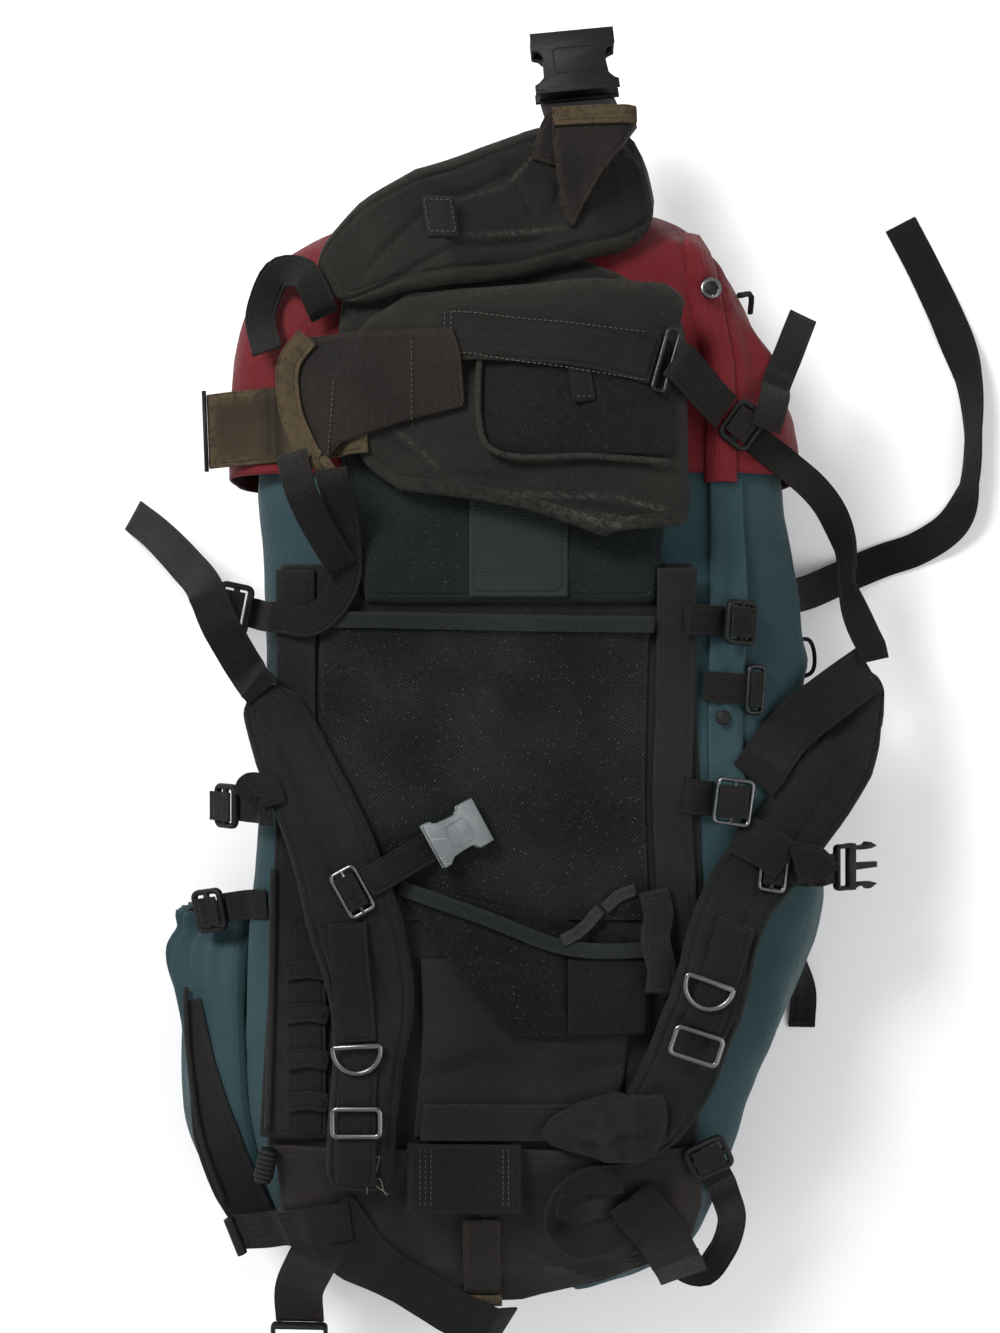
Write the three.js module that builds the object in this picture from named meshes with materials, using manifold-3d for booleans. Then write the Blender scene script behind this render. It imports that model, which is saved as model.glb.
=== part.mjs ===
// A large trekking rucksack lying on its front, with its harness side up and its hip belt end at +Y.
// Millimetres, +Z up. The bag is hollow cloth, and everything on it lies on what is under it.
import * as THREE from 'three';
import { mergeVertices } from 'three/addons/utils/BufferGeometryUtils.js';
import Module from 'manifold-3d';

// Driving dimensions of the bag
const HALF_WIDTH = 200;
const HALF_LENGTH = 375;
const DEPTH = 140;
const CLOTH = 2;
const GAP = 0.3;

// Driving dimensions of the padded and flat pieces on the back
const PANEL_THICK = 3;
const LUMBAR_THICK = 8;
const SLEEVE_WIDTH = 26;
const SLEEVE_THICK = 4;
const MESH_THICK = 1.5;
const MESH_MOUTH = 6;
const YOKE_THICK = 6;
const WING_WIDTH = 140;
const WING_THICK = 15;
const PAD_WIDTH = 62;
const PAD_THICK = 12;

// Driving dimensions of the webbing, the fittings and the small cord
const BELT_WEBBING = 50;
const WIDE_WEBBING = 34;
const WEBBING = 25;
const NARROW_WEBBING = 20;
const WEBBING_THICK = 2;
const FITTING_THICK = 5;
const FITTING_BAR = 4;
const RING_WIRE = 4;
const CORD = 3;

const wasm = await Module();
wasm.setup();

// Reads a table's rows into objects that carry the names of its columns.
function table(columns, rows) {
  const names = columns.split(' ');
  return rows.map((row) => Object.fromEntries(names.map((name, i) => [name, row[i] ?? 0])));
}

const lerp = THREE.MathUtils.lerp;

// Closed solid from its points and faces, with the faces turned outwards.
function solid(points, faces) {
  const volume = faces.reduce((sum, [a, b, c]) => {
    const cross = new THREE.Vector3().crossVectors(points[b], points[c]);
    return sum + points[a].dot(cross);
  }, 0);
  const turned = volume < 0 ? faces.map(([a, b, c]) => [a, c, b]) : faces;
  const geometry = new THREE.BufferGeometry();
  const numbers = points.flatMap((point) => point.toArray());
  geometry.setAttribute('position', new THREE.Float32BufferAttribute(numbers, 3));
  geometry.setIndex(turned.flat());
  geometry.computeVertexNormals();
  return geometry;
}

// Two triangles for one four-sided face.
const quad = (a, b, c, d) => [[a, b, c], [a, c, d]];

// Closed solid between two grids of points of the same size.
function slab(upper, lower) {
  const rows = upper.length;
  const columns = upper[0].length;
  const points = [...upper.flat(), ...lower.flat()];
  const up = (i, j) => i * columns + j;
  const down = (i, j) => rows * columns + up(i, j);
  const faces = [];
  for (let i = 0; i < rows - 1; i += 1) {
    for (let j = 0; j < columns - 1; j += 1) {
      faces.push(...quad(up(i, j), up(i, j + 1), up(i + 1, j + 1), up(i + 1, j)));
      faces.push(...quad(down(i, j), down(i + 1, j), down(i + 1, j + 1), down(i, j + 1)));
    }
  }
  for (let j = 0; j < columns - 1; j += 1) {
    faces.push(...quad(up(0, j), down(0, j), down(0, j + 1), up(0, j + 1)));
    faces.push(...quad(up(rows - 1, j), up(rows - 1, j + 1), down(rows - 1, j + 1), down(rows - 1, j)));
  }
  for (let i = 0; i < rows - 1; i += 1) {
    faces.push(...quad(up(i, 0), up(i + 1, 0), down(i + 1, 0), down(i, 0)));
    const [first, second] = [up(i, columns - 1), up(i + 1, columns - 1)];
    faces.push(...quad(first, down(i, columns - 1), down(i + 1, columns - 1), second));
  }
  return solid(points, faces);
}

// Cloth shell between outer and inner rings, open at the first ring and closed or open at the last.
function shell(outer, inner, closed) {
  const sides = outer[0].length;
  const points = [...outer.flat(), ...inner.flat()];
  const out = (i, j) => i * sides + (j % sides);
  const back = (i, j) => outer.length * sides + out(i, j);
  const faces = [];
  for (let j = 0; j < sides; j += 1) {
    for (let i = 0; i < outer.length - 1; i += 1) {
      faces.push(...quad(out(i, j), out(i, j + 1), out(i + 1, j + 1), out(i + 1, j)));
      faces.push(...quad(back(i, j), back(i + 1, j), back(i + 1, j + 1), back(i, j + 1)));
    }
    faces.push(...quad(out(0, j), back(0, j), back(0, j + 1), out(0, j + 1)));
  }
  const last = outer.length - 1;
  for (let j = 0; j < sides && !closed; j += 1) {
    faces.push(...quad(out(last, j), out(last, j + 1), back(last, j + 1), back(last, j)));
  }
  for (let j = 1; j < sides - 1 && closed; j += 1) {
    faces.push([out(last, 0), out(last, j), out(last, j + 1)]);
    faces.push([back(last, 0), back(last, j + 1), back(last, j)]);
  }
  return solid(points, faces);
}

// Heights of everything placed so far, on a grid seen from above, so that the next piece can lie on it.
const pile = {
  cell: 1,
  across: 1040,
  along: 1240,
  heights: new Float32Array(1040 * 1240),
  column(x) {
    return Math.round(x / this.cell + this.across / 2);
  },
  row(y) {
    return Math.round(y / this.cell + this.along / 2);
  },
  add(geometry) {
    const flat = geometry.index ? geometry.toNonIndexed() : geometry;
    const corners = flat.attributes.position;
    for (let i = 0; i < corners.count; i += 3) {
      const [a, b, c] = [0, 1, 2].map((k) => new THREE.Vector3().fromBufferAttribute(corners, i + k));
      this.addTriangle(a, b, c);
    }
  },
  addTriangle(a, b, c) {
    const area = (b.x - a.x) * (c.y - a.y) - (c.x - a.x) * (b.y - a.y);
    if (Math.abs(area) < 1e-6) return;
    const xs = [a.x, b.x, c.x];
    const ys = [a.y, b.y, c.y];
    for (let row = this.row(Math.min(...ys)); row <= this.row(Math.max(...ys)); row += 1) {
      for (let column = this.column(Math.min(...xs)); column <= this.column(Math.max(...xs)); column += 1) {
        const x = (column - this.across / 2) * this.cell;
        const y = (row - this.along / 2) * this.cell;
        const u = ((b.x - x) * (c.y - y) - (c.x - x) * (b.y - y)) / area;
        const v = ((c.x - x) * (a.y - y) - (a.x - x) * (c.y - y)) / area;
        const w = 1 - u - v;
        const cellIndex = row * this.across + column;
        if (u >= 0 && v >= 0 && w >= 0) {
          this.heights[cellIndex] = Math.max(this.heights[cellIndex], u * a.z + v * b.z + w * c.z);
        }
      }
    }
  },
  top(x, y, reach, reachAlong = reach) {
    let highest = 0;
    for (let row = this.row(y - reachAlong); row <= this.row(y + reachAlong); row += 1) {
      for (let column = this.column(x - reach); column <= this.column(x + reach); column += 1) {
        highest = Math.max(highest, this.heights[row * this.across + column] ?? 0);
      }
    }
    return highest;
  },
};

// Materials, with the colours of the worn pack
function look(color, roughness, metalness = 0) {
  return new THREE.MeshStandardMaterial({ color, roughness, metalness });
}
const teal = look(0x2d4850, 0.85);
const red = look(0x6e232a, 0.85);
const black = look(0x202226, 0.9);
const blackWebbing = look(0x1b1c1f, 0.8);
const fadedWebbing = look(0x3b352b, 0.85);
const meshCloth = look(0x17191c, 0.95);
const blackPlastic = look(0x141518, 0.45);
const silverPlastic = look(0x96999b, 0.4);
const steel = look(0xb8babd, 0.25, 1);

const pack = new THREE.Group();

// Adds a piece to the pack under its own name, and to the pile unless it lies under others.
function place(name, material, geometry, piled = true) {
  const mesh = new THREE.Mesh(geometry, material);
  mesh.name = name;
  pack.add(mesh);
  if (piled) pile.add(geometry);
  return mesh;
}

// Spacing of the points that feel for what a piece rests on, and how far round each of them they feel
const PROBE_STEP = 3;
const PROBE_REACH = 0.6;

// Height at which a piece's own middle has to be so that the piece rests on what lies under it
function restingHeight(piece, centre, under = pile) {
  const corners = (piece.index ? piece.toNonIndexed() : piece).attributes.position;
  let height = -Infinity;
  for (let i = 0; i < corners.count; i += 3) {
    const [a, b, c] = [0, 1, 2].map((k) => new THREE.Vector3().fromBufferAttribute(corners, i + k));
    const longest = Math.max(a.distanceTo(b), b.distanceTo(c), c.distanceTo(a));
    const parts = Math.ceil(longest / PROBE_STEP);
    for (let u = 0; u <= parts; u += 1) {
      for (let v = 0; v <= parts - u; v += 1) {
        const spot = a.clone().multiplyScalar((parts - u - v) / parts);
        spot.addScaledVector(b, u / parts).addScaledVector(c, v / parts);
        const top = under.top(centre.x + spot.x, centre.y + spot.y, PROBE_REACH);
        height = Math.max(height, top + GAP - spot.z);
      }
    }
  }
  return height;
}

// Lowers a piece that was laid too high until it rests.
function settle(geometry, under = pile) {
  const drop = Math.min(0, restingHeight(geometry, new THREE.Vector3(), under));
  (geometry.userData.ends ?? []).forEach((end) => end.point.add(new THREE.Vector3(0, 0, drop)));
  return geometry.translate(0, 0, drop);
}

// One ring of the bag's cloth, round above and flat where the bag lies on the ground.
const RING_SIDES = 28;
const FLATTENED = 6;
function bagRing(row, inset) {
  const left = row.left * HALF_WIDTH + inset;
  const right = row.right * HALF_WIDTH - inset;
  const top = row.top * DEPTH - inset;
  const bottom = row.lift * DEPTH + inset;
  const middle = DEPTH * row.middle;
  const ring = [];
  for (let i = 0; i < RING_SIDES; i += 1) {
    const angle = (2 * Math.PI * i) / RING_SIDES;
    const across = Math.sign(Math.cos(angle)) * Math.abs(Math.cos(angle)) ** (2 / row.square);
    const height = Math.abs(Math.sin(angle)) ** (2 / row.square);
    const x = lerp(left, right, (across + 1) / 2);
    const under = Math.max(bottom, lerp(middle, bottom - FLATTENED, height));
    const z = Math.sin(angle) >= 0 ? lerp(middle, top, height) : under;
    ring.push(new THREE.Vector3(x, row.y * HALF_LENGTH, z));
  }
  return ring;
}

// Teal cloth tube: columns are shares of the half length, half width and depth, then squareness and lift.
// Its collar draws in at the lid end, and its other end runs inside the lower compartment.
const INSIDE_CUP = (CLOTH + GAP) / DEPTH;
const BAG_SECTIONS = table('y left right top middle square lift', [
  [-0.985, -0.5, 0.3, 0.46, 0.27, 2.2, 0.1],
  [-0.955, -0.65, 0.44, 0.56, 0.3, 2.6, 0.03],
  [-0.9, -0.78, 0.58, 0.72, 0.36, 3],
  [-0.83, -0.84, 0.65, 0.86, 0.42, 3.2],
  [-0.74, -0.89, 0.7, 0.96, 0.46, 3.6],
  [-0.6, -0.93, 0.78, 0.99, 0.48, 4],
  [-0.44, -0.94, 0.9, 1, 0.5, 4],
  [-0.3, -0.93, 0.99, 1, 0.5, 4],
  [-0.2, -0.91, 1.02, 0.99, 0.5, 4],
  [0, -0.88, 0.98, 0.99, 0.5, 4],
  [0.18, -0.87, 0.96, 1, 0.5, 4],
  [0.36, -0.88, 0.93, 1, 0.5, 4],
  [0.5, -0.9, 0.9, 1, 0.5, 4, INSIDE_CUP],
  [0.6, -0.9, 0.88, 1, 0.5, 4, INSIDE_CUP],
]);
const tubeOuter = BAG_SECTIONS.map((row) => bagRing(row, 0));
const tubeInner = BAG_SECTIONS.map((row) => bagRing(row, CLOTH));
place('main_bag', teal, shell(tubeOuter, tubeInner, false));

// Red cloth cup over the end of the tube, which stands off it by a gap at the hem.
const HEM_RISE = (CLOTH + 2 * GAP) / DEPTH;
const CUP_SECTIONS = table('y left right top middle square lift', [
  [0.53, -1, 0.955, 1, 0.5, 4],
  [0.62, -1, 0.93, 1, 0.5, 4],
  [0.72, -0.985, 0.87, 0.99, 0.5, 4],
  [0.81, -0.955, 0.8, 0.97, 0.5, 3.8],
  [0.89, -0.9, 0.72, 0.94, 0.5, 3.4],
  [0.95, -0.78, 0.65, 0.87, 0.5, 3],
  [1, -0.62, 0.58, 0.76, 0.48, 2.6, 0.06],
  [1.03, -0.4, 0.48, 0.62, 0.46, 2.2, 0.12],
]);
const cupRows = CUP_SECTIONS.map((row) => ({ ...row, top: row.top + HEM_RISE }));
const cupOuter = cupRows.map((row) => bagRing(row, 0));
const cupInner = cupRows.map((row, i) => bagRing({
  ...row,
  y: i < cupRows.length - 1 ? row.y : row.y - CLOTH / HALF_LENGTH,
}, CLOTH));
place('bottom_compartment', red, shell(cupOuter, cupInner, true));

// Panel that lies on the pile: each row has its left and right edges and the least height it keeps.
// Each of its points feels a little past half way to the next.
const PANEL_STEP = 30;
const PANEL_REACH = 5;
const PAST_HALF = 0.6;
function panel(rows, thick, columns, { bulge = () => 0, step = PANEL_STEP } = {}) {
  const upper = [];
  const lower = [];
  const steps = [];
  for (let i = 0; i < rows.length - 1; i += 1) {
    const parts = Math.ceil((Math.abs(rows[i + 1].y - rows[i].y) * HALF_LENGTH) / step);
    for (let k = 0; k < parts; k += 1) steps.push([i, k / parts]);
  }
  steps.push([rows.length - 2, 1]);
  for (const [i, share] of steps) {
    const between = (name) => lerp(rows[i][name], rows[i + 1][name], share);
    const y = between('y') * HALF_LENGTH;
    const along = (rows[0].y - between('y')) / (rows[0].y - rows[rows.length - 1].y);
    const line = [];
    for (let j = 0; j <= columns; j += 1) {
      const across = j / columns;
      const x = lerp(between('left'), between('right'), across) * HALF_WIDTH;
      const pitch = ((between('right') - between('left')) * HALF_WIDTH) / columns;
      const reach = PAST_HALF * Math.max(PANEL_REACH, pitch);
      const rest = Math.max(pile.top(x, y, reach, PAST_HALF * step), between('least') * DEPTH);
      line.push(new THREE.Vector3(x, y, rest + GAP + bulge(across, along)));
    }
    lower.push(line);
    upper.push(line.map((point) => point.clone().setZ(point.z + thick)));
  }
  return settle(slab(upper, lower));
}

// Sections of the swept pieces, one unit wide and one unit thick
const FLAT = [[-0.5, -0.5], [0.5, -0.5], [0.5, 0.5], [-0.5, 0.5]];
const PADDED = Array.from({ length: 10 }, (_, i) => {
  const angle = (2 * Math.PI * (i + 0.5)) / 10;
  return [Math.cos(angle), Math.sin(angle)].map((part) => 0.5 * Math.sign(part) * Math.abs(part) ** 0.7);
});
const ROUND = Array.from({ length: 8 }, (_, i) => {
  const angle = (2 * Math.PI * i) / 8;
  return [0.5 * Math.cos(angle), 0.5 * Math.sin(angle)];
});

// Solid that a section leaves along stations, each with its point, side, up, width and thickness.
function sweep(stations, section) {
  const sides = section.length;
  const points = stations.flatMap((station) => section.map(([u, v]) => station.point.clone()
    .addScaledVector(station.side, u * station.width)
    .addScaledVector(station.up, v * station.thick)));
  const at = (i, j) => i * sides + (j % sides);
  const faces = [];
  for (let i = 0; i < stations.length - 1; i += 1) {
    for (let j = 0; j < sides; j += 1) {
      faces.push(...quad(at(i, j), at(i, j + 1), at(i + 1, j + 1), at(i + 1, j)));
    }
  }
  const last = stations.length - 1;
  for (let j = 1; j < sides - 1; j += 1) {
    faces.push([at(0, 0), at(0, j + 1), at(0, j)]);
    faces.push([at(last, 0), at(last, j), at(last, j + 1)]);
  }
  return solid(points, faces);
}

// Stations at even steps along a smooth path, with the columns of its rows worked out in between.
function along(points, rows, step) {
  const curve = new THREE.CatmullRomCurve3(points, false, 'centripetal');
  const count = Math.max(2, Math.ceil(curve.getLength() / step));
  const last = rows.length - 1;
  return Array.from({ length: count + 1 }, (_, i) => {
    const t = curve.getUtoTmapping(i / count);
    const from = Math.min(Math.floor(t * last), last - 1);
    const between = (name) => lerp(rows[from][name], rows[from + 1][name], t * last - from);
    return { point: curve.getPoint(t), tangent: curve.getTangent(t), between };
  });
}

// Raises heights so that no slope between neighbours is steeper than webbing lies.
const STEEPEST = 1.4;
function ease(stations) {
  const raise = (one, other) => {
    const run = Math.hypot(one.point.x - other.point.x, one.point.y - other.point.y);
    one.point.z = Math.max(one.point.z, other.point.z - STEEPEST * run);
  };
  for (let i = 1; i < stations.length; i += 1) raise(stations[i], stations[i - 1]);
  for (let i = stations.length - 2; i >= 0; i -= 1) raise(stations[i], stations[i + 1]);
}

// Place in the bag's shares: x of its half width, y of its half length and z of its depth.
const spotAt = (x, y, z) => new THREE.Vector3(x * HALF_WIDTH, y * HALF_LENGTH, z * DEPTH);

// Strap or pad that lies on the pile: rows give its place, least height, width share and twist in degrees.
// Each station feels over a strip of the pile that reaches half way to its neighbours.
const STRAP_STEP = 15;
const FEELER_PITCH = 3;
const FEELER_REACH = 2;
function laid(rows, { width, thick, section = FLAT, step = STRAP_STEP, ground = pile }) {
  const spots = rows.map((row) => spotAt(row.x, row.y, row.least));
  const stations = along(spots, rows, step).map(({ point, tangent, between }) => {
    const heading = tangent.clone().setZ(0).normalize();
    const side = new THREE.Vector3(heading.y, -heading.x, 0);
    const twist = THREE.MathUtils.degToRad(between('twist'));
    const wide = width * between('width');
    const halfWide = 0.5 * (wide * Math.abs(Math.cos(twist)) + thick * Math.abs(Math.sin(twist)));
    const halfHigh = 0.5 * (wide * Math.abs(Math.sin(twist)) + thick * Math.abs(Math.cos(twist)));
    const lines = Math.ceil(halfWide / FEELER_PITCH);
    let rest = 0;
    for (const ahead of [-0.5, 0, 0.5]) {
      for (let k = -lines; k <= lines; k += 1) {
        const spot = point.clone().addScaledVector(heading, ahead * step);
        spot.addScaledVector(side, (k / lines) * halfWide);
        rest = Math.max(rest, ground.top(spot.x, spot.y, FEELER_REACH));
      }
    }
    return { point, heading, side, twist, rest, halfHigh, width: wide, thick };
  });
  const lift = (station, stretch) => {
    station.point.z = Math.max(station.point.z, station.rest + GAP + station.halfHigh * stretch);
  };
  stations.forEach((station) => lift(station, 1));
  ease(stations);
  stations.forEach((station, i) => {
    const before = stations[Math.max(i - 1, 0)].point;
    const after = stations[Math.min(i + 1, stations.length - 1)].point;
    const run = Math.hypot(after.x - before.x, after.y - before.y);
    station.slope = (after.z - before.z) / run;
    station.stretch = Math.hypot(1, station.slope);
  });
  stations.forEach((station) => {
    lift(station, station.stretch);
    const tangent = station.heading.clone().setZ(station.slope).normalize();
    const up = new THREE.Vector3().crossVectors(station.side, tangent).normalize();
    const flatSide = station.side.clone();
    const [turned, upright] = [Math.cos(station.twist), Math.sin(station.twist)];
    station.side = flatSide.clone().multiplyScalar(turned).addScaledVector(up, upright);
    station.up = up.multiplyScalar(turned).addScaledVector(flatSide, -upright);
  });
  const geometry = sweep(stations, section);
  geometry.userData.ends = [stations[0], stations[stations.length - 1]];
  return settle(geometry, ground);
}

// Pad that folds over itself: heights are shares of its thickness above a base, and its sides stay level.
// Where it turns over and runs nearly upright, it keeps the side that it had.
const UPRIGHT = 0.3;
function folded(rows, { width, thick, base, section = PADDED, step = STRAP_STEP }) {
  const spots = rows.map((row) => spotAt(row.x, row.y, (base + row.rise * thick) / DEPTH));
  let side;
  const stations = along(spots, rows, step).map(({ point, tangent, between }) => {
    const level = new THREE.Vector3(tangent.y, -tangent.x, 0);
    if (side && level.dot(side) < 0) level.negate();
    side = side && level.length() < UPRIGHT ? side : level.normalize();
    const up = new THREE.Vector3().crossVectors(side, tangent).normalize();
    return { point, side, up, width: width * between('width'), thick };
  });
  return sweep(stations, section);
}

// Share of the half width that the bag's cloth reaches at a place along it.
function bagEdge(name, y) {
  const next = Math.max(1, BAG_SECTIONS.findIndex((row) => row.y >= y));
  const [low, high] = [BAG_SECTIONS[next - 1], BAG_SECTIONS[next]];
  return lerp(low[name], high[name], (y - low.y) / (high.y - low.y));
}

// Rows of a laid piece, which keep to its full width and lie flat unless they say otherwise.
function route(rows) {
  const filled = rows.map(([x, y, least = 0, width = 1, twist = 0]) => [x, y, least, width, twist]);
  return table('x y least width twist', filled);
}

// Flat outlines, centred, with cut corners
function outline(width, length, corner) {
  const [x, y] = [width / 2, length / 2];
  const shape = new THREE.Shape();
  const corners = [[-x + corner, -y], [x - corner, -y], [x, -y + corner], [x, y - corner],
    [x - corner, y], [-x + corner, y], [-x, y - corner], [-x, -y + corner]];
  corners.forEach(([px, py], i) => (i ? shape.lineTo(px, py) : shape.moveTo(px, py)));
  shape.closePath();
  return shape;
}
function slot(width, length, y) {
  const path = new THREE.Path();
  const [x, half] = [width / 2, length / 2];
  [[-x, y - half], [-x, y + half], [x, y + half], [x, y - half]].forEach(([px, py], i) => (
    i ? path.lineTo(px, py) : path.moveTo(px, py)));
  path.closePath();
  return path;
}
function plate(shape, thick) {
  const geometry = new THREE.ExtrudeGeometry(shape, { depth: thick, bevelEnabled: false, curveSegments: 6 });
  return geometry.translate(0, 0, -thick / 2);
}

// Frame with a slot between each two of its cross bars, which webbing of the given width runs through.
function webbingFrame(webbing, slots, gap, thick = FITTING_THICK, bar = FITTING_BAR) {
  const pitch = gap + bar;
  const shape = outline(webbing + 2 + 2 * bar, slots * pitch + bar, bar * 0.6);
  for (let i = 0; i < slots; i += 1) {
    shape.holes.push(slot(webbing + 2, gap, (i - (slots - 1) / 2) * pitch));
  }
  return plate(shape, thick);
}

// D ring: a straight bar closed by a bow
function dRing(webbing) {
  const shape = new THREE.Shape();
  const radius = webbing / 2 + 1 + RING_WIRE;
  shape.moveTo(-radius, -RING_WIRE);
  shape.lineTo(radius, -RING_WIRE);
  shape.lineTo(radius, 0);
  shape.absarc(0, 0, radius, 0, Math.PI, false);
  shape.closePath();
  const hole = new THREE.Path();
  hole.moveTo(webbing / 2 + 1, 0);
  hole.absarc(0, 0, webbing / 2 + 1, 0, Math.PI, false);
  hole.closePath();
  shape.holes.push(hole);
  return plate(shape, RING_WIRE);
}

// Manifold solid of a closed geometry, and the geometry of one.
function toManifold(geometry) {
  const bare = geometry.clone();
  bare.deleteAttribute('normal');
  bare.deleteAttribute('uv');
  const merged = mergeVertices(bare, 1e-4);
  return new wasm.Manifold(new wasm.Mesh({
    numProp: 3,
    vertProperties: new Float32Array(merged.attributes.position.array),
    triVerts: new Uint32Array(merged.index.array),
  }));
}
function toGeometry(manifold) {
  const { vertProperties, triVerts } = manifold.getMesh();
  const geometry = new THREE.BufferGeometry();
  geometry.setAttribute('position', new THREE.BufferAttribute(vertProperties, 3));
  geometry.setIndex(new THREE.BufferAttribute(triVerts, 1));
  geometry.computeVertexNormals();
  return geometry;
}

// Buckle socket: a flat box, open at the far end for the plug and slotted at the near end for its webbing.
const SOCKET_WALL = 2.5;
function buckleSocket(webbing, length, thick) {
  const width = webbing + 6;
  const body = plate(outline(width, length, width * 0.12), thick);
  const room = new THREE.BoxGeometry(width - 2 * SOCKET_WALL - 3, length, thick - 2 * SOCKET_WALL);
  room.translate(0, length * 0.36, 0);
  const bar = new THREE.BoxGeometry(webbing, length * 0.13, thick + 2);
  bar.translate(0, -length * 0.34, 0);
  return toGeometry(toManifold(body).subtract(toManifold(room)).subtract(toManifold(bar)));
}

// Buckle plug: a slotted foot with a guide between two side prongs
function bucklePlug(webbing, length, thick) {
  const [x, y] = [webbing / 2 + 3, length / 2];
  const shape = new THREE.Shape();
  const half = [[x, -y], [x, -y * 0.1], [x * 0.94, -y * 0.02], [x * 0.98, y * 0.55], [x * 0.84, y * 0.9],
    [x * 0.7, y * 0.55], [x * 0.66, y * 0.02], [x * 0.2, y * 0.02], [x * 0.16, y]];
  const mirrored = half.map(([px, py]) => [-px, py]).reverse();
  [...half, ...mirrored].forEach(([px, py], i) => (i ? shape.lineTo(px, py) : shape.moveTo(px, py)));
  shape.closePath();
  shape.holes.push(slot(webbing, length * 0.12, -y * 0.62));
  return plate(shape, thick);
}

// Sets a fitting down flat on the pile, turned about the upright.
function fit(name, material, geometry, { x, y, turn = 0 }) {
  const mesh = new THREE.Mesh(geometry, material);
  mesh.name = name;
  mesh.rotation.z = THREE.MathUtils.degToRad(turn);
  const turned = geometry.clone().applyMatrix4(new THREE.Matrix4().makeRotationFromEuler(mesh.rotation));
  const centre = new THREE.Vector3(x * HALF_WIDTH, y * HALF_LENGTH, 0);
  centre.z = restingHeight(turned, centre);
  mesh.position.copy(centre);
  pack.add(mesh);
  pile.add(turned.translate(centre.x, centre.y, centre.z));
}

// Sets a fitting at the start or the end of a laid strap, in line with it and a gap away from it.
function fitOn(strap, { name, material, geometry, start = false, droop = 0 }) {
  const end = strap.userData.ends[start ? 0 : 1];
  const away = start ? -1 : 1;
  const turn = Math.atan2(-end.heading.x * away, end.heading.y * away);
  const bend = THREE.MathUtils.degToRad(droop);
  const pitch = Math.atan(end.slope * away) - bend;
  geometry.computeBoundingBox();
  const mesh = new THREE.Mesh(geometry, material);
  mesh.name = name;
  mesh.rotation.set(pitch, 0, turn, 'ZXY');
  const clear = GAP + WEBBING_THICK * Math.abs(Math.sin(bend));
  const reach = new THREE.Vector3(0, clear - geometry.boundingBox.min.y, 0).applyEuler(mesh.rotation);
  const turned = geometry.clone().applyMatrix4(new THREE.Matrix4().makeRotationFromEuler(mesh.rotation));
  const centre = end.point.clone().add(reach);
  const rest = restingHeight(turned, centre);
  centre.z = rest > centre.z - FITTING_THICK ? rest : centre.z;
  mesh.position.copy(centre);
  pack.add(mesh);
  pile.add(turned.translate(centre.x, centre.y, centre.z));
}

// Places a strap and then the fittings at its ends, which rest on what the strap rests on.
function strapWith(name, material, geometry, ...fittings) {
  place(name, material, geometry, false);
  fittings.forEach((fitting) => fitOn(geometry, fitting));
  pile.add(geometry);
}

// Black back panel between the two sides of the bag
const BACK_PANEL = table('y left right least', [
  [0.37, -0.8, 0.56],
  [0.1, -0.8, 0.58],
  [-0.22, -0.8, 0.6],
  [-0.5, -0.83, 0.6],
  [-0.68, -0.85, 0.58],
]);
place('back_panel', black, panel(BACK_PANEL, PANEL_THICK, 8));

// Teal flap over the side zip, beside the back panel
place('storm_flap', teal, panel(table('y left right least', [
  [0.52, 0.62, 0.73],
  [-0.02, 0.62, 0.74],
]), CLOTH, 3));

// Lumbar pad over the end of the back panel and the hem of the lower compartment
place('lumbar_pad', black, panel(table('y left right least', [
  [0.83, -0.5, 0.42],
  [0.7, -0.6, 0.48],
  [0.5, -0.6, 0.5],
  [0.3, -0.51, 0.44],
]), LUMBAR_THICK, 7));

// Sleeves of the two frame stays
const sleeve = { width: SLEEVE_WIDTH, thick: SLEEVE_THICK, step: 30 };
const SLEEVE_LEFT = route([[-0.745, 0.36], [-0.745, -0.04], [-0.77, -0.39], [-0.8, -0.64]]);
const SLEEVE_RIGHT = route([[0.505, 0.36], [0.505, 0.13], [0.495, -0.04], [0.51, -0.22], [0.52, -0.39]]);
place('stay_sleeve_left', black, laid(SLEEVE_LEFT, sleeve));
place('stay_sleeve_right', black, laid(SLEEVE_RIGHT, sleeve));

// Mesh panel between the sleeves, open along its bound upper edge
const mouth = (across, down) => MESH_MOUTH * Math.sin(Math.PI * across) * (1 - down) ** 2;
place('mesh_panel', meshCloth, panel(table('y left right least', [
  [0.268, -0.665, 0.42],
  [-0.04, -0.665, 0.405],
  [-0.255, -0.68, 0.42],
]), MESH_THICK, 7, { bulge: mouth }));

// Yoke between the shoulder pads, and the torn mesh that hangs over it
place('yoke_panel', black, panel(table('y left right least', [
  [-0.32, -0.33, 0.38],
  [-0.45, -0.33, 0.36],
  [-0.64, -0.35, 0.3],
]), YOKE_THICK, 6));
place('mesh_flap', meshCloth, panel(table('y left right least', [
  [-0.2, -0.4, -0.28],
  [-0.25, -0.34, 0.12],
  [-0.29, -0.28, 0.41],
  [-0.37, -0.16, 0.42],
  [-0.45, -0.04, 0.42],
]), MESH_THICK, 5));

// Lid cloth that falls over the open end of the bag
place('lid_fabric', black, panel(table('y left right least', [
  [-0.655, -0.82, 0.6],
  [-0.76, -0.8, 0.6, 0.93],
  [-0.86, -0.72, 0.56, 0.8],
  [-0.93, -0.62, 0.3, 0.68],
  [-0.985, -0.44, -0.02, 0.56],
]), CLOTH, 9, { step: 15 }));

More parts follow.
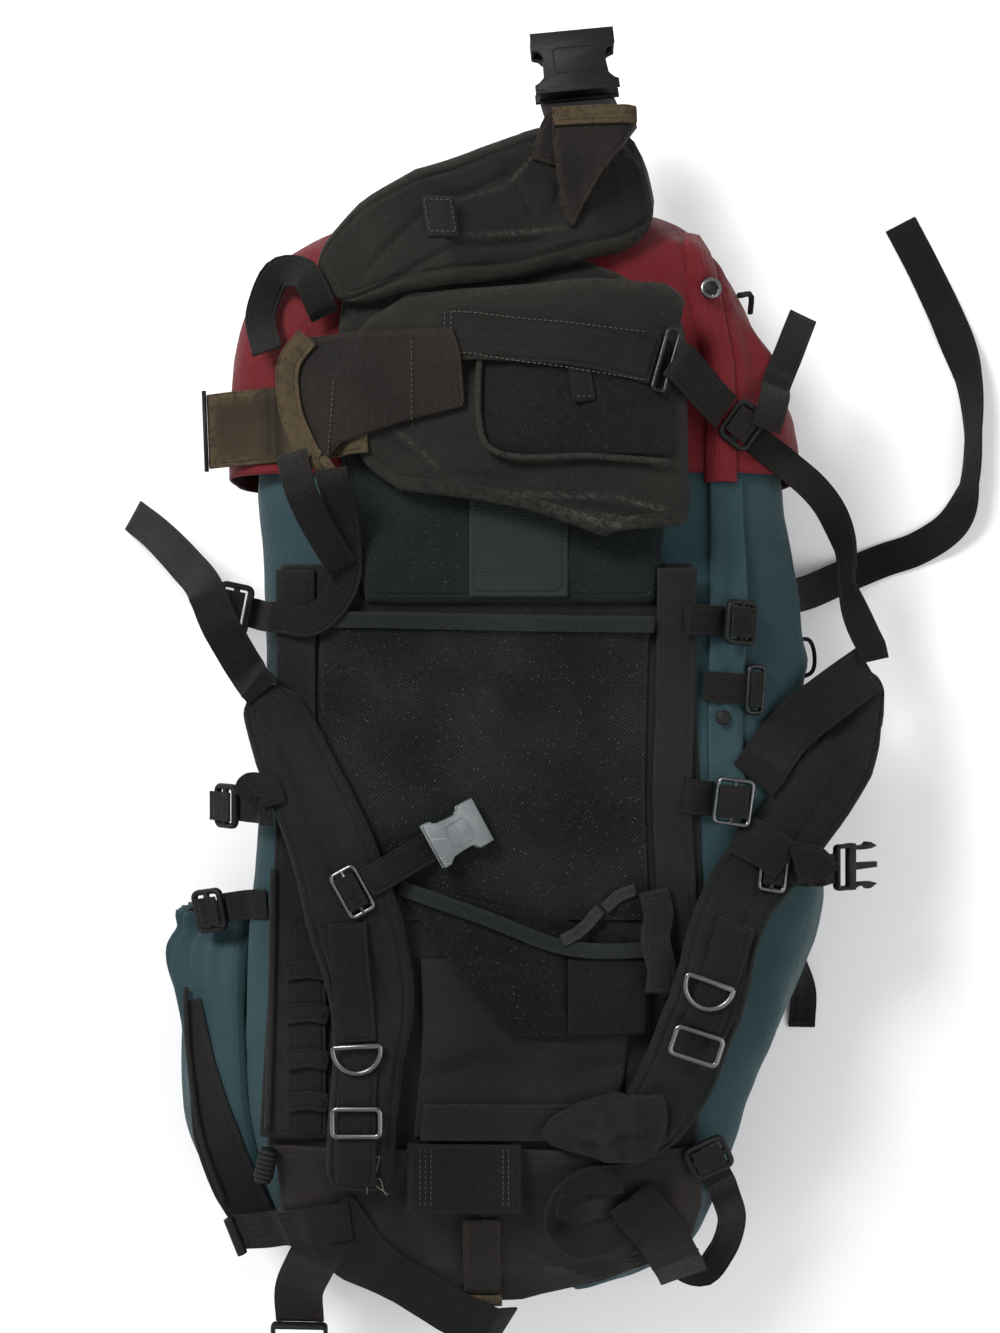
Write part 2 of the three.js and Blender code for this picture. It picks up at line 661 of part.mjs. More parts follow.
// Shoulder pads, wide at the chest and narrow at the lower end
const padded = { width: PAD_WIDTH, thick: PAD_THICK, section: PADDED, step: 22 };
const PAD_LEFT = route([
  [-0.84, 0.15, 0, 0.5], [-0.82, 0.12, 0, 0.62], [-0.755, 0.045, 0, 0.8], [-0.62, -0.12, 0, 0.92],
  [-0.535, -0.265, 0, 1.03], [-0.49, -0.385, 0, 0.94], [-0.5, -0.5, 0, 0.8],
  [-0.52, -0.61, 0, 0.76], [-0.53, -0.715, 0, 0.7],
]);
const PAD_RIGHT = route([
  [1.2, 0.18, 0.62, 0.4], [1.15, 0.12, 0.7, 0.68], [1.075, 0.03, 0.8, 0.8], [0.85, -0.12, 0.9, 0.84],
  [0.66, -0.265, 0, 0.76], [0.587, -0.385, 0, 0.78], [0.5, -0.53, 0, 0.8],
  [0.4, -0.6, 0, 0.72], [0.24, -0.61, 0, 0.55],
]);
place('shoulder_pad_left', black, laid(PAD_LEFT, padded));
place('shoulder_pad_right', black, laid(PAD_RIGHT, padded));

// Hip belt wings, folded inwards over the lumbar pad and the lower compartment
const wing = { width: WING_WIDTH, thick: WING_THICK };
const WING_RIGHT = table('x y rise width', [
  [0.4, 0.6, 0.5, 0.66], [0.46, 0.6, 0.62, 0.86], [0.495, 0.6, 1.1, 0.88], [0.45, 0.6, 1.56, 0.94],
  [0.36, 0.612, 1.6, 1.1], [0.18, 0.632, 1.35, 1.05], [-0.01, 0.642, 1, 0.95], [-0.2, 0.648, 0.7, 0.9],
  [-0.38, 0.648, 0.56, 0.84], [-0.5, 0.65, 0.56, 0.62], [-0.56, 0.65, 0.56, 0.42],
]);
const WING_LEFT = route([
  [-0.62, 0.85, 0, 0.24], [-0.55, 0.877, 0, 0.36], [-0.42, 0.912, 0, 0.47], [-0.26, 0.943, 0, 0.56],
  [-0.07, 0.978, 0, 0.64], [0.123, 1.013, 0, 0.68], [0.283, 1.035, 0, 0.64],
  [0.37, 1.046, 0, 0.5], [0.42, 1.052, 0, 0.3],
]);
const belowWing = GAP + Math.max(...WING_RIGHT.map((row) => (
  pile.top(row.x * HALF_WIDTH, row.y * HALF_LENGTH, 0.5 * WING_WIDTH * row.width))));
const wingRight = settle(folded(WING_RIGHT, { ...wing, base: belowWing }));
const wingLeft = laid(WING_LEFT, { ...wing, section: PADDED });
place('hip_wing_right', black, wingRight);
place('hip_wing_left', black, wingLeft);

// Stiff strap on the right wing, and the metal slider at its end
const wide = { width: WIDE_WEBBING, thick: WEBBING_THICK };
const wingStrap = laid(route([[-0.26, 0.752], [-0.01, 0.746], [0.24, 0.728], [0.42, 0.702]]), wide);
strapWith('wing_strap', blackWebbing, wingStrap, {
  name: 'wing_slider', material: steel, geometry: webbingFrame(WIDE_WEBBING, 1, 5, RING_WIRE, RING_WIRE),
});

// Belt webbing: round the end of the right wing, and from the left wing out to the buckle socket
const belt = { width: BELT_WEBBING, thick: WEBBING_THICK };
place('belt_webbing_left', fadedWebbing, laid(route([
  [-0.16, 0.665], [-0.38, 0.668], [-0.6, 0.66], [-0.74, 0.645], [-0.9, 0.613, 0.95], [-1.05, 0.61, 0.85],
]), belt));
const beltRight = laid(route([[0.1, 0.985], [0.15, 1.06], [0.2, 1.14, 0.95], [0.19, 1.2, 0.86]]), belt);
strapWith('belt_webbing_right', fadedWebbing, beltRight, {
  name: 'belt_socket', material: blackPlastic, geometry: buckleSocket(BELT_WEBBING, 46, 14), droop: -42,
});

// Narrow straps at the root of the belt and along the left side
const narrow = { width: NARROW_WEBBING, thick: WEBBING_THICK };
const webbing = { width: WEBBING, thick: WEBBING_THICK };
const sideLock = () => webbingFrame(NARROW_WEBBING, 2, 6);
place('wing_loop_left', blackWebbing, laid(route([
  [-0.64, 0.8], [-0.71, 0.87], [-0.8, 0.88], [-0.86, 0.81], [-0.82, 0.73],
]), { ...narrow, step: 8 }));
place('belt_root_strap', blackWebbing, laid(route([[-0.73, 0.55], [-0.67, 0.45], [-0.58, 0.36]]), narrow));
strapWith('anchor_strap_left', blackWebbing, laid(route([
  [-0.6, 0.52], [-0.57, 0.42], [-0.58, 0.33], [-0.68, 0.27], [-0.8, 0.275], [-0.9, 0.285, 0.92],
]), narrow), { name: 'ladder_lock_left', material: blackPlastic, geometry: webbingFrame(WEBBING, 2, 7) });
place('lower_strap_left', blackWebbing, laid(route([
  [-0.84, 0.145], [-0.93, 0.205, 0.98], [-0.99, 0.27, 0.9], [-1.03, 0.32, 0.9], [-1.14, 0.375, 0.6],
  [-1.31, 0.445, 0.22], [-1.44, 0.49, 0.02],
]), webbing));

// Chest strap, left half: slider on the pad, webbing and buckle socket
const slider = () => webbingFrame(WEBBING, 2, 5, RING_WIRE, 3);
const chestLeft = laid(route([[-0.5, -0.183], [-0.38, -0.148], [-0.29, -0.122]]), narrow);
strapWith('chest_strap_left', fadedWebbing, chestLeft,
  { name: 'chest_slider_left', material: steel, geometry: slider(), start: true },
  { name: 'chest_socket', material: silverPlastic, geometry: buckleSocket(WEBBING, 38, 11) });

// Load webbing and rings on the left pad
strapWith('load_strap_left', blackWebbing, laid(route([
  [-0.56, -0.25], [-0.55, -0.33], [-0.535, -0.41], [-0.53, -0.455],
]), webbing), { name: 'd_ring_left', material: steel, geometry: dRing(WEBBING) });
const linkRing = () => webbingFrame(WEBBING, 1, 14, RING_WIRE, RING_WIRE);
fit('link_ring_left', steel, linkRing(), { x: -0.53, y: -0.59 });

// Chest strap, right half: slider, webbing and three-prong plug
strapWith('chest_strap_right', fadedWebbing, laid(route([
  [0.87, -0.162], [0.96, -0.168, 0.9], [1.04, -0.168, 0.78],
]), narrow),
{ name: 'chest_slider_right', material: steel, geometry: slider(), start: true },
{ name: 'chest_plug', material: blackPlastic, geometry: bucklePlug(WEBBING, 38, 6), droop: -20 });

// Rings on the right pad
fit('d_ring_right', steel, dRing(WEBBING), { x: 0.59, y: -0.345, turn: 160 });
fit('link_ring_right', steel, linkRing(), { x: 0.55, y: -0.45, turn: -18 });

// Lower strap of the right pad, and its ladder lock on the panel edge
strapWith('lower_strap_right', blackWebbing, laid(route([
  [1.19, 0.185, 0.72], [1.08, 0.15, 0.85], [0.93, 0.095, 0.95], [0.76, -0.01],
]), wide), { name: 'ladder_lock_right', material: steel, geometry: webbingFrame(WIDE_WEBBING, 1, 8) });

// Stabiliser strap on the right, with its slider and free tail
strapWith('stabiliser_strap', blackWebbing, laid(route([
  [1.2, 0.2, 0.64], [1.17, 0.27, 0.55, 1, 20], [1.14, 0.34, 0.55, 1, 70], [1.13, 0.4, 0.58, 1, 60],
  [1.06, 0.47, 0.75, 1, 15], [0.9, 0.54, 0.98], [0.77, 0.59],
]), narrow), { name: 'stabiliser_slider', material: blackPlastic, geometry: sideLock() });
place('stabiliser_tail', blackWebbing, laid(route([
  [0.79, 0.6], [0.83, 0.66], [0.88, 0.725, 0.9], [0.93, 0.785, 0.8], [0.97, 0.83, 0.7],
]), narrow));

// Long free tail on the ground at the right
const ground = { top: () => 0 };
const TAIL_ROOT = 0.32;
const tailRootEdge = bagEdge('right', TAIL_ROOT - (0.5 * WEBBING) / HALF_LENGTH) + GAP / HALF_WIDTH;
place('long_tail', blackWebbing, laid(route([
  [tailRootEdge + 0.003, TAIL_ROOT, 0.42], [1.06, 0.335, 0.2], [1.2, 0.365, 0.03], [1.36, 0.4], [1.5, 0.427],
  [1.62, 0.475, 0, 1, 25], [1.67, 0.55, 0, 1, 75], [1.685, 0.65, 0, 1, 80], [1.67, 0.76, 0, 1, 60],
  [1.61, 0.87, 0, 1, 10], [1.52, 0.98], [1.43, 1.073],
]), { ...webbing, ground }));

// Side straps with their locks
strapWith('side_strap_right', blackWebbing, laid(route([[0.53, 0.27], [0.6, 0.27], [0.66, 0.268]]), narrow),
  { name: 'side_lock_right', material: blackPlastic, geometry: sideLock() });
strapWith('side_loop_low', blackWebbing, laid(route([
  [0.64, -0.7], [0.69, -0.76, 0.85], [0.735, -0.84, 0.6], [0.72, -0.92, 0.4],
  [0.66, -0.965, 0.3], [0.59, -0.95, 0.34], [0.565, -0.885, 0.5],
]), narrow), { name: 'side_lock_low', material: blackPlastic, geometry: sideLock(), start: true });
strapWith('side_strap_left', blackWebbing, laid(route([
  [-0.81, -0.06], [-0.88, -0.06, 0.9], [-0.945, -0.06, 0.84],
]), { ...narrow, step: 6 }), { name: 'side_lock_left', material: blackPlastic, geometry: sideLock() });
place('side_tail_right', blackWebbing, laid(route([
  [0.985, -0.33, 0.4, 1, 80], [1.02, -0.39, 0.2, 1, 50], [1.06, -0.46, 0.03, 1, 10], [1.06, -0.53],
]), { ...narrow, ground }));

// Side pocket: cloth that bulges from the bag's side, open at its gathered end
const POCKET_SECTIONS = table('y out high low', [
  [-0.27, -1.2, 0.64, 0.07],
  [-0.35, -1.245, 0.7, 0.04],
  [-0.47, -1.2, 0.73, 0.03],
  [-0.66, -1.19, 0.7, 0.03],
  [-0.78, -1.1, 0.62, 0.05],
  [-0.86, -1.0, 0.5, 0.1],
]);
const POCKET_ARC = 10;
function pocketGrid(inset) {
  return POCKET_SECTIONS.map((row) => Array.from({ length: POCKET_ARC + 1 }, (_, j) => {
    const angle = (Math.PI * j) / POCKET_ARC;
    const edge = bagEdge('left', row.y) * HALF_WIDTH - 2 * GAP;
    const bulge = edge - row.out * HALF_WIDTH - inset;
    const middle = (0.5 * (row.high + row.low)) * DEPTH;
    const rise = 0.5 * (row.high - row.low) * DEPTH - inset;
    const x = edge - bulge * Math.sin(angle) ** 0.6;
    return new THREE.Vector3(x, row.y * HALF_LENGTH, middle + rise * Math.cos(angle));
  }));
}
place('side_pocket', teal, slab(pocketGrid(0), pocketGrid(CLOTH)));

// Cord lock of the side compartment, a ribbed barrel
const barrel = new THREE.CylinderGeometry(6.5, 6.5, 22, 10);
fit('cord_lock', blackPlastic, barrel, { x: -0.84, y: -0.685, turn: -12 });

// Haul loop and the straps over the lid
const HAUL_PATCH = 45;
const haulPatch = laid(route([[-0.37, -0.7], [-0.17, -0.7], [0, -0.7]]), { ...belt, width: HAUL_PATCH });
place('haul_patch', blackWebbing, haulPatch);
place('haul_loop', blackWebbing, laid(route([
  [0.33, -0.7], [0.2, -0.71], [0.11, -0.735], [0.1, -0.79], [0.2, -0.82], [0.33, -0.8], [0.44, -0.79],
]), narrow));
place('lid_tab', fadedWebbing, laid(route([[-0.13, -0.78], [-0.13, -0.87], [-0.13, -0.975, 0.62]]), webbing));
const lidStrapLeft = laid(route([
  [-0.64, -0.82], [-0.72, -0.9, 0.7], [-0.77, -0.97, 0.58], [-0.775, -1.04, 0.5],
]), { ...wide, step: 8 });
strapWith('lid_strap_left', fadedWebbing, lidStrapLeft,
  { name: 'lid_buckle', material: blackPlastic, geometry: bucklePlug(WIDE_WEBBING, 40, 6) });
place('lid_strap_diagonal', blackWebbing, laid(route([
  [-0.62, -0.76], [-0.5, -0.85], [-0.36, -0.93, 0.78], [-0.2, -0.99, 0.62], [-0.05, -1.04, 0.5],
]), webbing));

// Pull cord of the side zip, a small loop that stands out from the bag
const cordRoot = (y) => bagEdge('right', y) + (2 * GAP) / HALF_WIDTH;
const PULL_CORD = [
  [cordRoot(0.235), 0.235, 0.5], [1.02, 0.24, 0.47], [1.045, 0.215, 0.44],
  [1.035, 0.18, 0.46], [cordRoot(0.165), 0.165, 0.5],
];
const cordSpots = PULL_CORD.map(([x, y, z]) => spotAt(x, y, z));
const cordStations = along(cordSpots, route(PULL_CORD), 2.5 * CORD).map(({ point, tangent }) => {
  const side = new THREE.Vector3().crossVectors(tangent, new THREE.Vector3(0, 0, 1)).normalize();
  return { point, side, up: new THREE.Vector3().crossVectors(side, tangent), width: CORD, thick: CORD };
});
place('pull_cord', blackWebbing, sweep(cordStations, ROUND), false);

// The origin is at the middle of the ground that the pack covers.
const reachOf = new THREE.Box3().setFromObject(pack);
const middleOf = reachOf.getCenter(new THREE.Vector3());
pack.position.set(-middleOf.x, -middleOf.y, -reachOf.min.z);

export default pack;
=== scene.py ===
"""A large trekking rucksack, worn and empty, lying on its front with its harness side up."""
import math
import bpy
import numpy as np
from mathutils import Matrix, Vector, kdtree, noise


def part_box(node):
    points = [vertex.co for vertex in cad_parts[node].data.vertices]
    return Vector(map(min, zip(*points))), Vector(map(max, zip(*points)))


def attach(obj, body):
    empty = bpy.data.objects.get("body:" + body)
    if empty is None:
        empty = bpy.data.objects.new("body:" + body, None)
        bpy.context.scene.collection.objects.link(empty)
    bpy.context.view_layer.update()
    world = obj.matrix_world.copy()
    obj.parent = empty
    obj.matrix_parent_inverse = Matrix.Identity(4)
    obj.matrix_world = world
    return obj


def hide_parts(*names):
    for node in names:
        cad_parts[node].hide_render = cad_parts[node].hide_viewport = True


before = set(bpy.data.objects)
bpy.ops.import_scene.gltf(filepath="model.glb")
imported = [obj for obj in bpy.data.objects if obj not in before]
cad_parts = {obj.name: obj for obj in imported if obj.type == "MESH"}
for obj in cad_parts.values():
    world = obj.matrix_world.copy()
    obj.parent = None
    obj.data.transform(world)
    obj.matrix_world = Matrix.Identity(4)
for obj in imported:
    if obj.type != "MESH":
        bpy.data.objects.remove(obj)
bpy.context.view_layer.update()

# The photograph was taken from straight above, a little over a metre up, and the pack lies on a pale floor.
# The camera stands over the same spot of it. Places on the pack are shares of its half width, half length
# and depth, measured from the middle of its own cloth.
HALF_WIDTH, HALF_LENGTH, DEPTH = 0.2, 0.375, 0.14
WIDEST, TUBE_END = 1.02, 0.6
bag_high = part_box("main_bag")[1]
MIDDLE = Vector((bag_high.x - WIDEST * HALF_WIDTH, bag_high.y - TUBE_END * HALF_LENGTH, 0))
CAMERA_OFF, CAMERA_HEIGHT = Vector((-0.014, 0.071, 0)), 1.15
SENSOR_MM, LENS_MM = 36, 41.41
eye = bpy.data.cameras.new("photo_camera")
eye.sensor_width, eye.lens = SENSOR_MM, LENS_MM
eye_object = bpy.data.objects.new("photo_camera", eye)
eye_object.location = MIDDLE + CAMERA_OFF + Vector((0, 0, CAMERA_HEIGHT))
bpy.context.scene.collection.objects.link(eye_object)
bpy.context.scene.camera = eye_object


def light(name, spot, size, power):
    """A soft square lamp that looks at the pack."""
    lamp = bpy.data.lights.new(name, "AREA")
    lamp.size, lamp.energy = size, power
    lamp_object = bpy.data.objects.new(name, lamp)
    lamp_object.location = spot
    lamp_object.rotation_euler = (MIDDLE - Vector(spot)).to_track_quat("-Z", "Y").to_euler()
    bpy.context.scene.collection.objects.link(lamp_object)


light("key_lamp", (-0.9, 0.95, 1.4), 0.6, 34)
light("fill_lamp", (1.3, -0.4, 1.5), 1.6, 16)
light("low_lamp", (-1.2, -1.1, 1.0), 1.4, 4)
world = bpy.data.worlds.new("studio")
world.use_nodes = True
world.node_tree.nodes["Background"].inputs["Color"].default_value = (0.97, 0.98, 1, 1)
world.node_tree.nodes["Background"].inputs["Strength"].default_value = 0.5
bpy.context.scene.world = world
bpy.context.scene.view_settings.view_transform = "Standard"


class Sum:
    """One socket of a material's nodes, so that its maths can be written as Python."""

    def __init__(self, finish, socket):
        self.finish, self.socket = finish, socket

    def join(self, operation, *others):
        inputs = {i: other for i, other in enumerate((self, *others))}
        return self.finish.node("ShaderNodeMath", {"operation": operation}, inputs)

    def __add__(self, other):
        return self.join("ADD", other)

    def __mul__(self, other):
        return self.join("MULTIPLY", other)

    def __sub__(self, other):
        return self.join("SUBTRACT", other)

    def __rsub__(self, other):
        return self.finish.node("ShaderNodeMath", {"operation": "SUBTRACT"}, {0: other, 1: self})

    def __truediv__(self, other):
        return self.join("DIVIDE", other)

    def __lt__(self, other):
        return self.join("LESS_THAN", other)

    def __gt__(self, other):
        return self.join("GREATER_THAN", other)

    __radd__, __rmul__ = __add__, __mul__

    def of(self, operation):
        return self.join(operation)

    def ramp(self, low, high, to_low=0, to_high=1):
        """The value spread from one range to another, and kept inside it."""
        inputs = {"Value": self, "From Min": low, "From Max": high, "To Min": to_low, "To Max": to_high}
        return self.finish.node("ShaderNodeMapRange", {"interpolation_type": "SMOOTHSTEP"}, inputs)


class Finish:
    """A material under construction, with one method for every kind of node."""

    def __init__(self, name, roughness, metallic=0.0, **fixed):
        self.material = bpy.data.materials.new(name)
        self.material.use_nodes = True
        self.tree = self.material.node_tree
        self.shader = self.tree.nodes["Principled BSDF"]
        self.shader.inputs["Roughness"].default_value = roughness
        self.shader.inputs["Metallic"].default_value = metallic
        for socket, value in fixed.items():
            self.shader.inputs[socket.replace("_", " ")].default_value = value
        lie = self.node("ShaderNodeAttribute", {"attribute_name": "lie"}, {}, "Vector")
        split = self.node("ShaderNodeSeparateXYZ", {}, {0: lie}, None)
        self.across, self.along, self.edge = (Sum(self, split.outputs[i]) for i in range(3))
        self.place = self.node("ShaderNodeTexCoord", {}, {}, "Object")

    def node(self, kind, settings, inputs, out=0):
        made = self.tree.nodes.new(kind)
        for name, value in settings.items():
            setattr(made, name, value)
        for name, value in inputs.items():
            if isinstance(value, Sum):
                self.tree.links.new(value.socket, made.inputs[name])
            else:
                made.inputs[name].default_value = value
        return made if out is None else Sum(self, made.outputs[out])

    def noise(self, scale, detail=3.0, stretch=None):
        """Soft blotches, this many to the metre."""
        where = self.place
        if stretch:
            settings = {"operation": "MULTIPLY"}
            where = self.node("ShaderNodeVectorMath", settings, {0: self.place, 1: stretch})
        return self.node("ShaderNodeTexNoise", {}, {"Vector": where, "Scale": scale, "Detail": detail})

    def mix(self, share, one, other):
        inputs = {0: share, 6: one, 7: other}
        return self.node("ShaderNodeMix", {"data_type": "RGBA"}, inputs, 2)

    def feed(self, socket, value):
        self.tree.links.new(value.socket, self.shader.inputs[socket])

    def bump(self, height, distance):
        inputs = {"Height": height, "Strength": 1.0, "Distance": distance}
        self.feed("Normal", self.node("ShaderNodeBump", {}, inputs))


def wave(value, pitch):
    """A wave from 0 to 1 with this many metres from crest to crest."""
    return (value * (2 * math.pi / pitch)).of("SINE") * 0.5 + 0.5


def rgb(red, green, blue):
    """A colour of the screen, from 0 to 255, as the light that the shader works with."""
    return tuple((part / 255) ** 2.2 for part in (red, green, blue)) + (1.0,)


def stitches(finish, rows, pitch=0.0032):
    """Thread that runs along the edge at these distances from it."""
    line = None
    for inset in rows:
        near = (finish.edge - inset).of("ABSOLUTE") < 0.0005
        line = near if line is None else line + near
    return line * (wave(finish.across + finish.along, pitch) > 0.3)


# The last colour is painted shade, put in the gaps between the threads of woven cloth and webbing.
# The third colour is painted shade, put in the holes of knitted mesh and in soft hollows across it.
RUBBED, DUST, PAINTED_KNIT_SHADE, PAINTED_THREAD_GAP_SHADE = rgb(96, 93, 86), rgb(150, 148, 142), rgb(8, 10, 11), rgb(6, 7,
    9)


def cloth(name, colour, faded, pitch, relief, roughness=0.85, worn=0.4, rows=(), weave="plain", dust=0.12,
        fray=0.004):
    """Woven cloth, webbing or knitted mesh: its weave, its fading, its scuffed edges, the dust on it and its
    seams, with painted shade between its threads, and in mesh painted shade in its holes and hollows.
    """
    made = Finish(name, roughness, Sheen_Weight=0.03, Specular_IOR_Level=0.12)
    if weave == "plain":
        threads = wave(made.across, pitch) * wave(made.along, pitch)
    elif weave == "webbing":
        slant = (wave(made.across, 5 * pitch) - 0.5).of("ABSOLUTE") * (1.6 * pitch)
        threads = wave(made.along + slant, pitch) * 0.7 + wave(made.across, 5 * pitch) * 0.3
    else:
        rounds = wave(made.across, pitch) * wave(made.along, pitch)
        offset = wave(made.across + pitch / 2, pitch) * wave(made.along + pitch / 2, pitch)
        threads = 1 - rounds.join("MAXIMUM", offset).ramp(0.45, 0.75)
    blotch = made.noise(7, 4).ramp(0.35, 0.7)
    fine = made.noise(260, 5)
    grain = made.noise(900, 2)
    tint = made.mix(blotch * 0.55 + fine * 0.25, colour, faded)
    if weave == "knit":
        # Knitted mesh: painted shade in the holes between its threads, and soft blotches of painted shade,
        # set by slack, for the hollows where it sags.
        slack = made.noise(13, 2).ramp(0.38, 0.62, 0.25, 0.9)
        tint = made.mix(threads * slack + 0.08, PAINTED_KNIT_SHADE, tint)
    else:
        # Woven cloth and webbing: painted shade between the threads.
        tint = made.mix(threads.ramp(0.0, 1.0, 0.22, 0), tint, PAINTED_THREAD_GAP_SHADE)
    scuff = made.edge.ramp(0.0, fray, 1, 0) * fine.ramp(0.3, 0.6)
    tint = made.mix(scuff * worn, tint, faded)
    rubbed = made.node("ShaderNodeAttribute", {"attribute_name": "wear"}, {}, "Fac")
    tint = made.mix(rubbed * (fine * 0.5 + grain * 0.5).ramp(0.4, 0.6) * 0.4, tint, RUBBED)
    tint = made.mix(grain.ramp(0.66, 0.78) * dust, tint, DUST)
    height = threads + fine * 0.8
    if rows:
        thread = stitches(made, rows)
        tint = made.mix(thread * 0.35, tint, faded)
        groove = None
        for inset in rows:
            dip = (made.edge - inset).of("ABSOLUTE").ramp(0.0, 0.0016, 1, 0)
            groove = dip if groove is None else groove + dip
        height = height + thread * 1.5 - groove * 2.2
    made.feed("Base Color", tint)
    made.feed("Roughness", fine.ramp(0.3, 0.7, roughness - 0.1, min(roughness + 0.08, 1)))
    made.bump(height, relief)
    return made.material


class Pile:
    """How high everything made so far reaches, on a grid seen from above. The next piece lies on it."""

    cell, low, shape = 0.001, (-0.42, -0.58), (840, 1160)

    def __init__(self):
        self.heights = np.zeros(self.shape)

    def cells(self, x, y):
        column = np.rint((x - self.low[0]) / self.cell).astype(int)
        row = np.rint((y - self.low[1]) / self.cell).astype(int)
        return np.clip(column, 0, self.shape[0] - 1), np.clip(row, 0, self.shape[1] - 1)

    def add(self, points, faces):
        corners = [(f[0], f[i], f[i + 1]) for f in faces for i in range(1, len(f) - 1)]
        a, b, c = (points[[t[i] for t in corners]] for i in range(3))
        longest = np.maximum.reduce([np.hypot(*(p - q)[:, :2].T) for p, q in ((a, b), (b, c), (c, a))])
        parts = np.maximum(np.ceil(longest / self.cell).astype(int), 1)
        for n in np.unique(parts):
            few = np.flatnonzero(parts == n)
            i, j = (part.ravel() for part in np.meshgrid(np.arange(n + 1), np.arange(n + 1)))
            inside = i + j <= n
            shares = np.stack([n - i - j, i, j])[:, inside] / n
            for some in np.array_split(few, 1 + len(few) * shares.shape[1] // 2000000):
                spots = sum(p[some][:, None] * share[:, None] for p, share in zip((a, b, c), shares))
                np.maximum.at(self.heights, self.cells(spots[..., 0], spots[..., 1]), spots[..., 2])

    def top(self, x, y, reach=0.001):
        column, row = self.cells(np.asarray(x), np.asarray(y))
        wide = int(round(reach / self.cell))
        best = np.zeros(column.shape)
        for i in range(-wide, wide + 1):
            for j in range(-wide, wide + 1):
                beside = np.clip(column + i, 0, self.shape[0] - 1)
                ahead = np.clip(row + j, 0, self.shape[1] - 1)
                best = np.maximum(best, self.heights[beside, ahead])
        return best


pile = Pile()


def fill_out(piece, seams, limit=0.0025, cell=0.006, frames=20, nearest=4, pressure=4, seam_depth=0.0008):
    """Swells a padded piece between its seams: a coarse copy is simulated as cloth under pressure, and the
    finer mesh follows it, no further than the limit."""
    cage = bpy.data.objects.new("cage", piece.data.copy())
    bpy.context.scene.collection.objects.link(cage)
    remesh = cage.modifiers.new("remesh", "REMESH")
    remesh.mode, remesh.voxel_size = "VOXEL", cell
    coarse = bpy.data.meshes.new_from_object(cage.evaluated_get(bpy.context.evaluated_depsgraph_get()))
    cage.modifiers.clear()
    cage.data = coarse
    before = np.array([vertex.co for vertex in coarse.vertices])
    held = cage.vertex_groups.new(name="held")
    held.add(np.flatnonzero(ridges(before, seams) < -seam_depth).tolist(), 1.0, "REPLACE")
    cloth_run = cage.modifiers.new("cloth", "CLOTH")
    cloth_run.settings.vertex_group_mass = "held"
    cloth_run.settings.use_pressure = True
    cloth_run.settings.uniform_pressure_force = pressure
    cloth_run.settings.effector_weights.gravity = 0
    cloth_run.point_cache.frame_start, cloth_run.point_cache.frame_end = 1, frames
    for moment in range(1, frames + 1):
        bpy.context.scene.frame_set(moment)
    swollen = cage.evaluated_get(bpy.context.evaluated_depsgraph_get()).data
    move = np.array([vertex.co for vertex in swollen.vertices]) - before
    bpy.data.objects.remove(cage)
    bpy.context.scene.frame_set(1)
    move *= limit / np.maximum(np.linalg.norm(move, axis=1, keepdims=True), limit)
    move[:, 2] = np.maximum(move[:, 2], 0)
    tree = kdtree.KDTree(len(before))
    for i, point in enumerate(before):
        tree.insert(point, i)
    tree.balance()
    for vertex in piece.data.vertices:
        near = tree.find_n(vertex.co, nearest)
        weights = [1 / (distance + 0.001) for _, _, distance in near]
        vertex.co += Vector(sum(w * move[i] for w, (_, i, _) in zip(weights, near)) / sum(weights))
    piece.data.update()
    return np.array([vertex.co for vertex in piece.data.vertices])


def make(name, points, faces, lie, material, stands_for=(), piled=True, filled=0, seams=(),
        scuffs=()):
    """One piece of the pack from its points, which rides with it and takes the place of its CAD nodes.
    A padded piece says that it is filled out, and a rubbed one where."""
    points = np.asarray(points, float).reshape(-1, 3)
    mesh = bpy.data.meshes.new(name)
    mesh.from_pydata(points.tolist(), [], [list(map(int, face)) for face in faces])
    mesh.attributes.new("lie", "FLOAT_VECTOR", "POINT").data.foreach_set("vector",
        np.ravel(lie).astype(float))
    if scuffs:
        mesh.attributes.new("wear", "FLOAT", "POINT").data.foreach_set("value", ridges(points, scuffs))
    mesh.shade_smooth()
    mesh.update()
    mesh.materials.append(material)
    piece = bpy.data.objects.new(name, mesh)
    bpy.context.scene.collection.objects.link(piece)
    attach(piece, "root")
    if stands_for:
        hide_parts(*stands_for)
    if filled:
        points = fill_out(piece, seams)
    if piled:
        pile.add(points, faces)
    return piece


def table(columns, rows):
    """A table's columns by name. What a row leaves out is nought."""
    names = columns.split()
    return {name: np.array([row[i] if i < len(row) else 0.0 for row in rows]) for i,
        name in enumerate(names)}


def smooth(values, at):
    """Values between the rows of a table, on a curve that passes through all of them."""
    last = len(values) - 1
    start = np.clip(np.floor(at).astype(int), 0, last - 1)
    share = at - start
    before, after = values[np.maximum(start - 1, 0)], values[np.minimum(start + 2, last)]
    one, two = values[start], values[start + 1]
    bend = (after - one) * share ** 2 * (share - 1) + (two - before) * share * (share - 1) ** 2
    return one + (two - one) * share ** 2 * (3 - 2 * share) + 0.5 * bend


def grid_faces(rows, columns, start=0, closed=False, turned=False):
    """Four-sided faces between the rows and columns of a grid of points."""
    wide = columns if closed else columns - 1
    i, j = np.meshgrid(np.arange(rows - 1), np.arange(wide), indexing="ij")
    there = (j + 1) % columns
    faces = np.stack([i * columns + j, i * columns + there, (i + 1) * columns + there,
        (i + 1) * columns + j], -1)
    faces = faces.reshape(-1, 4) + start
    return (faces[:, ::-1] if turned else faces).tolist()


def crumple(points, size, seed):
    """Soft noise from -1 to 1 at each point, with lumps about this large."""
    return np.array([noise.noise(Vector(p) / size + Vector((seed, 0, 0))) for p in points.reshape(-1, 3)])


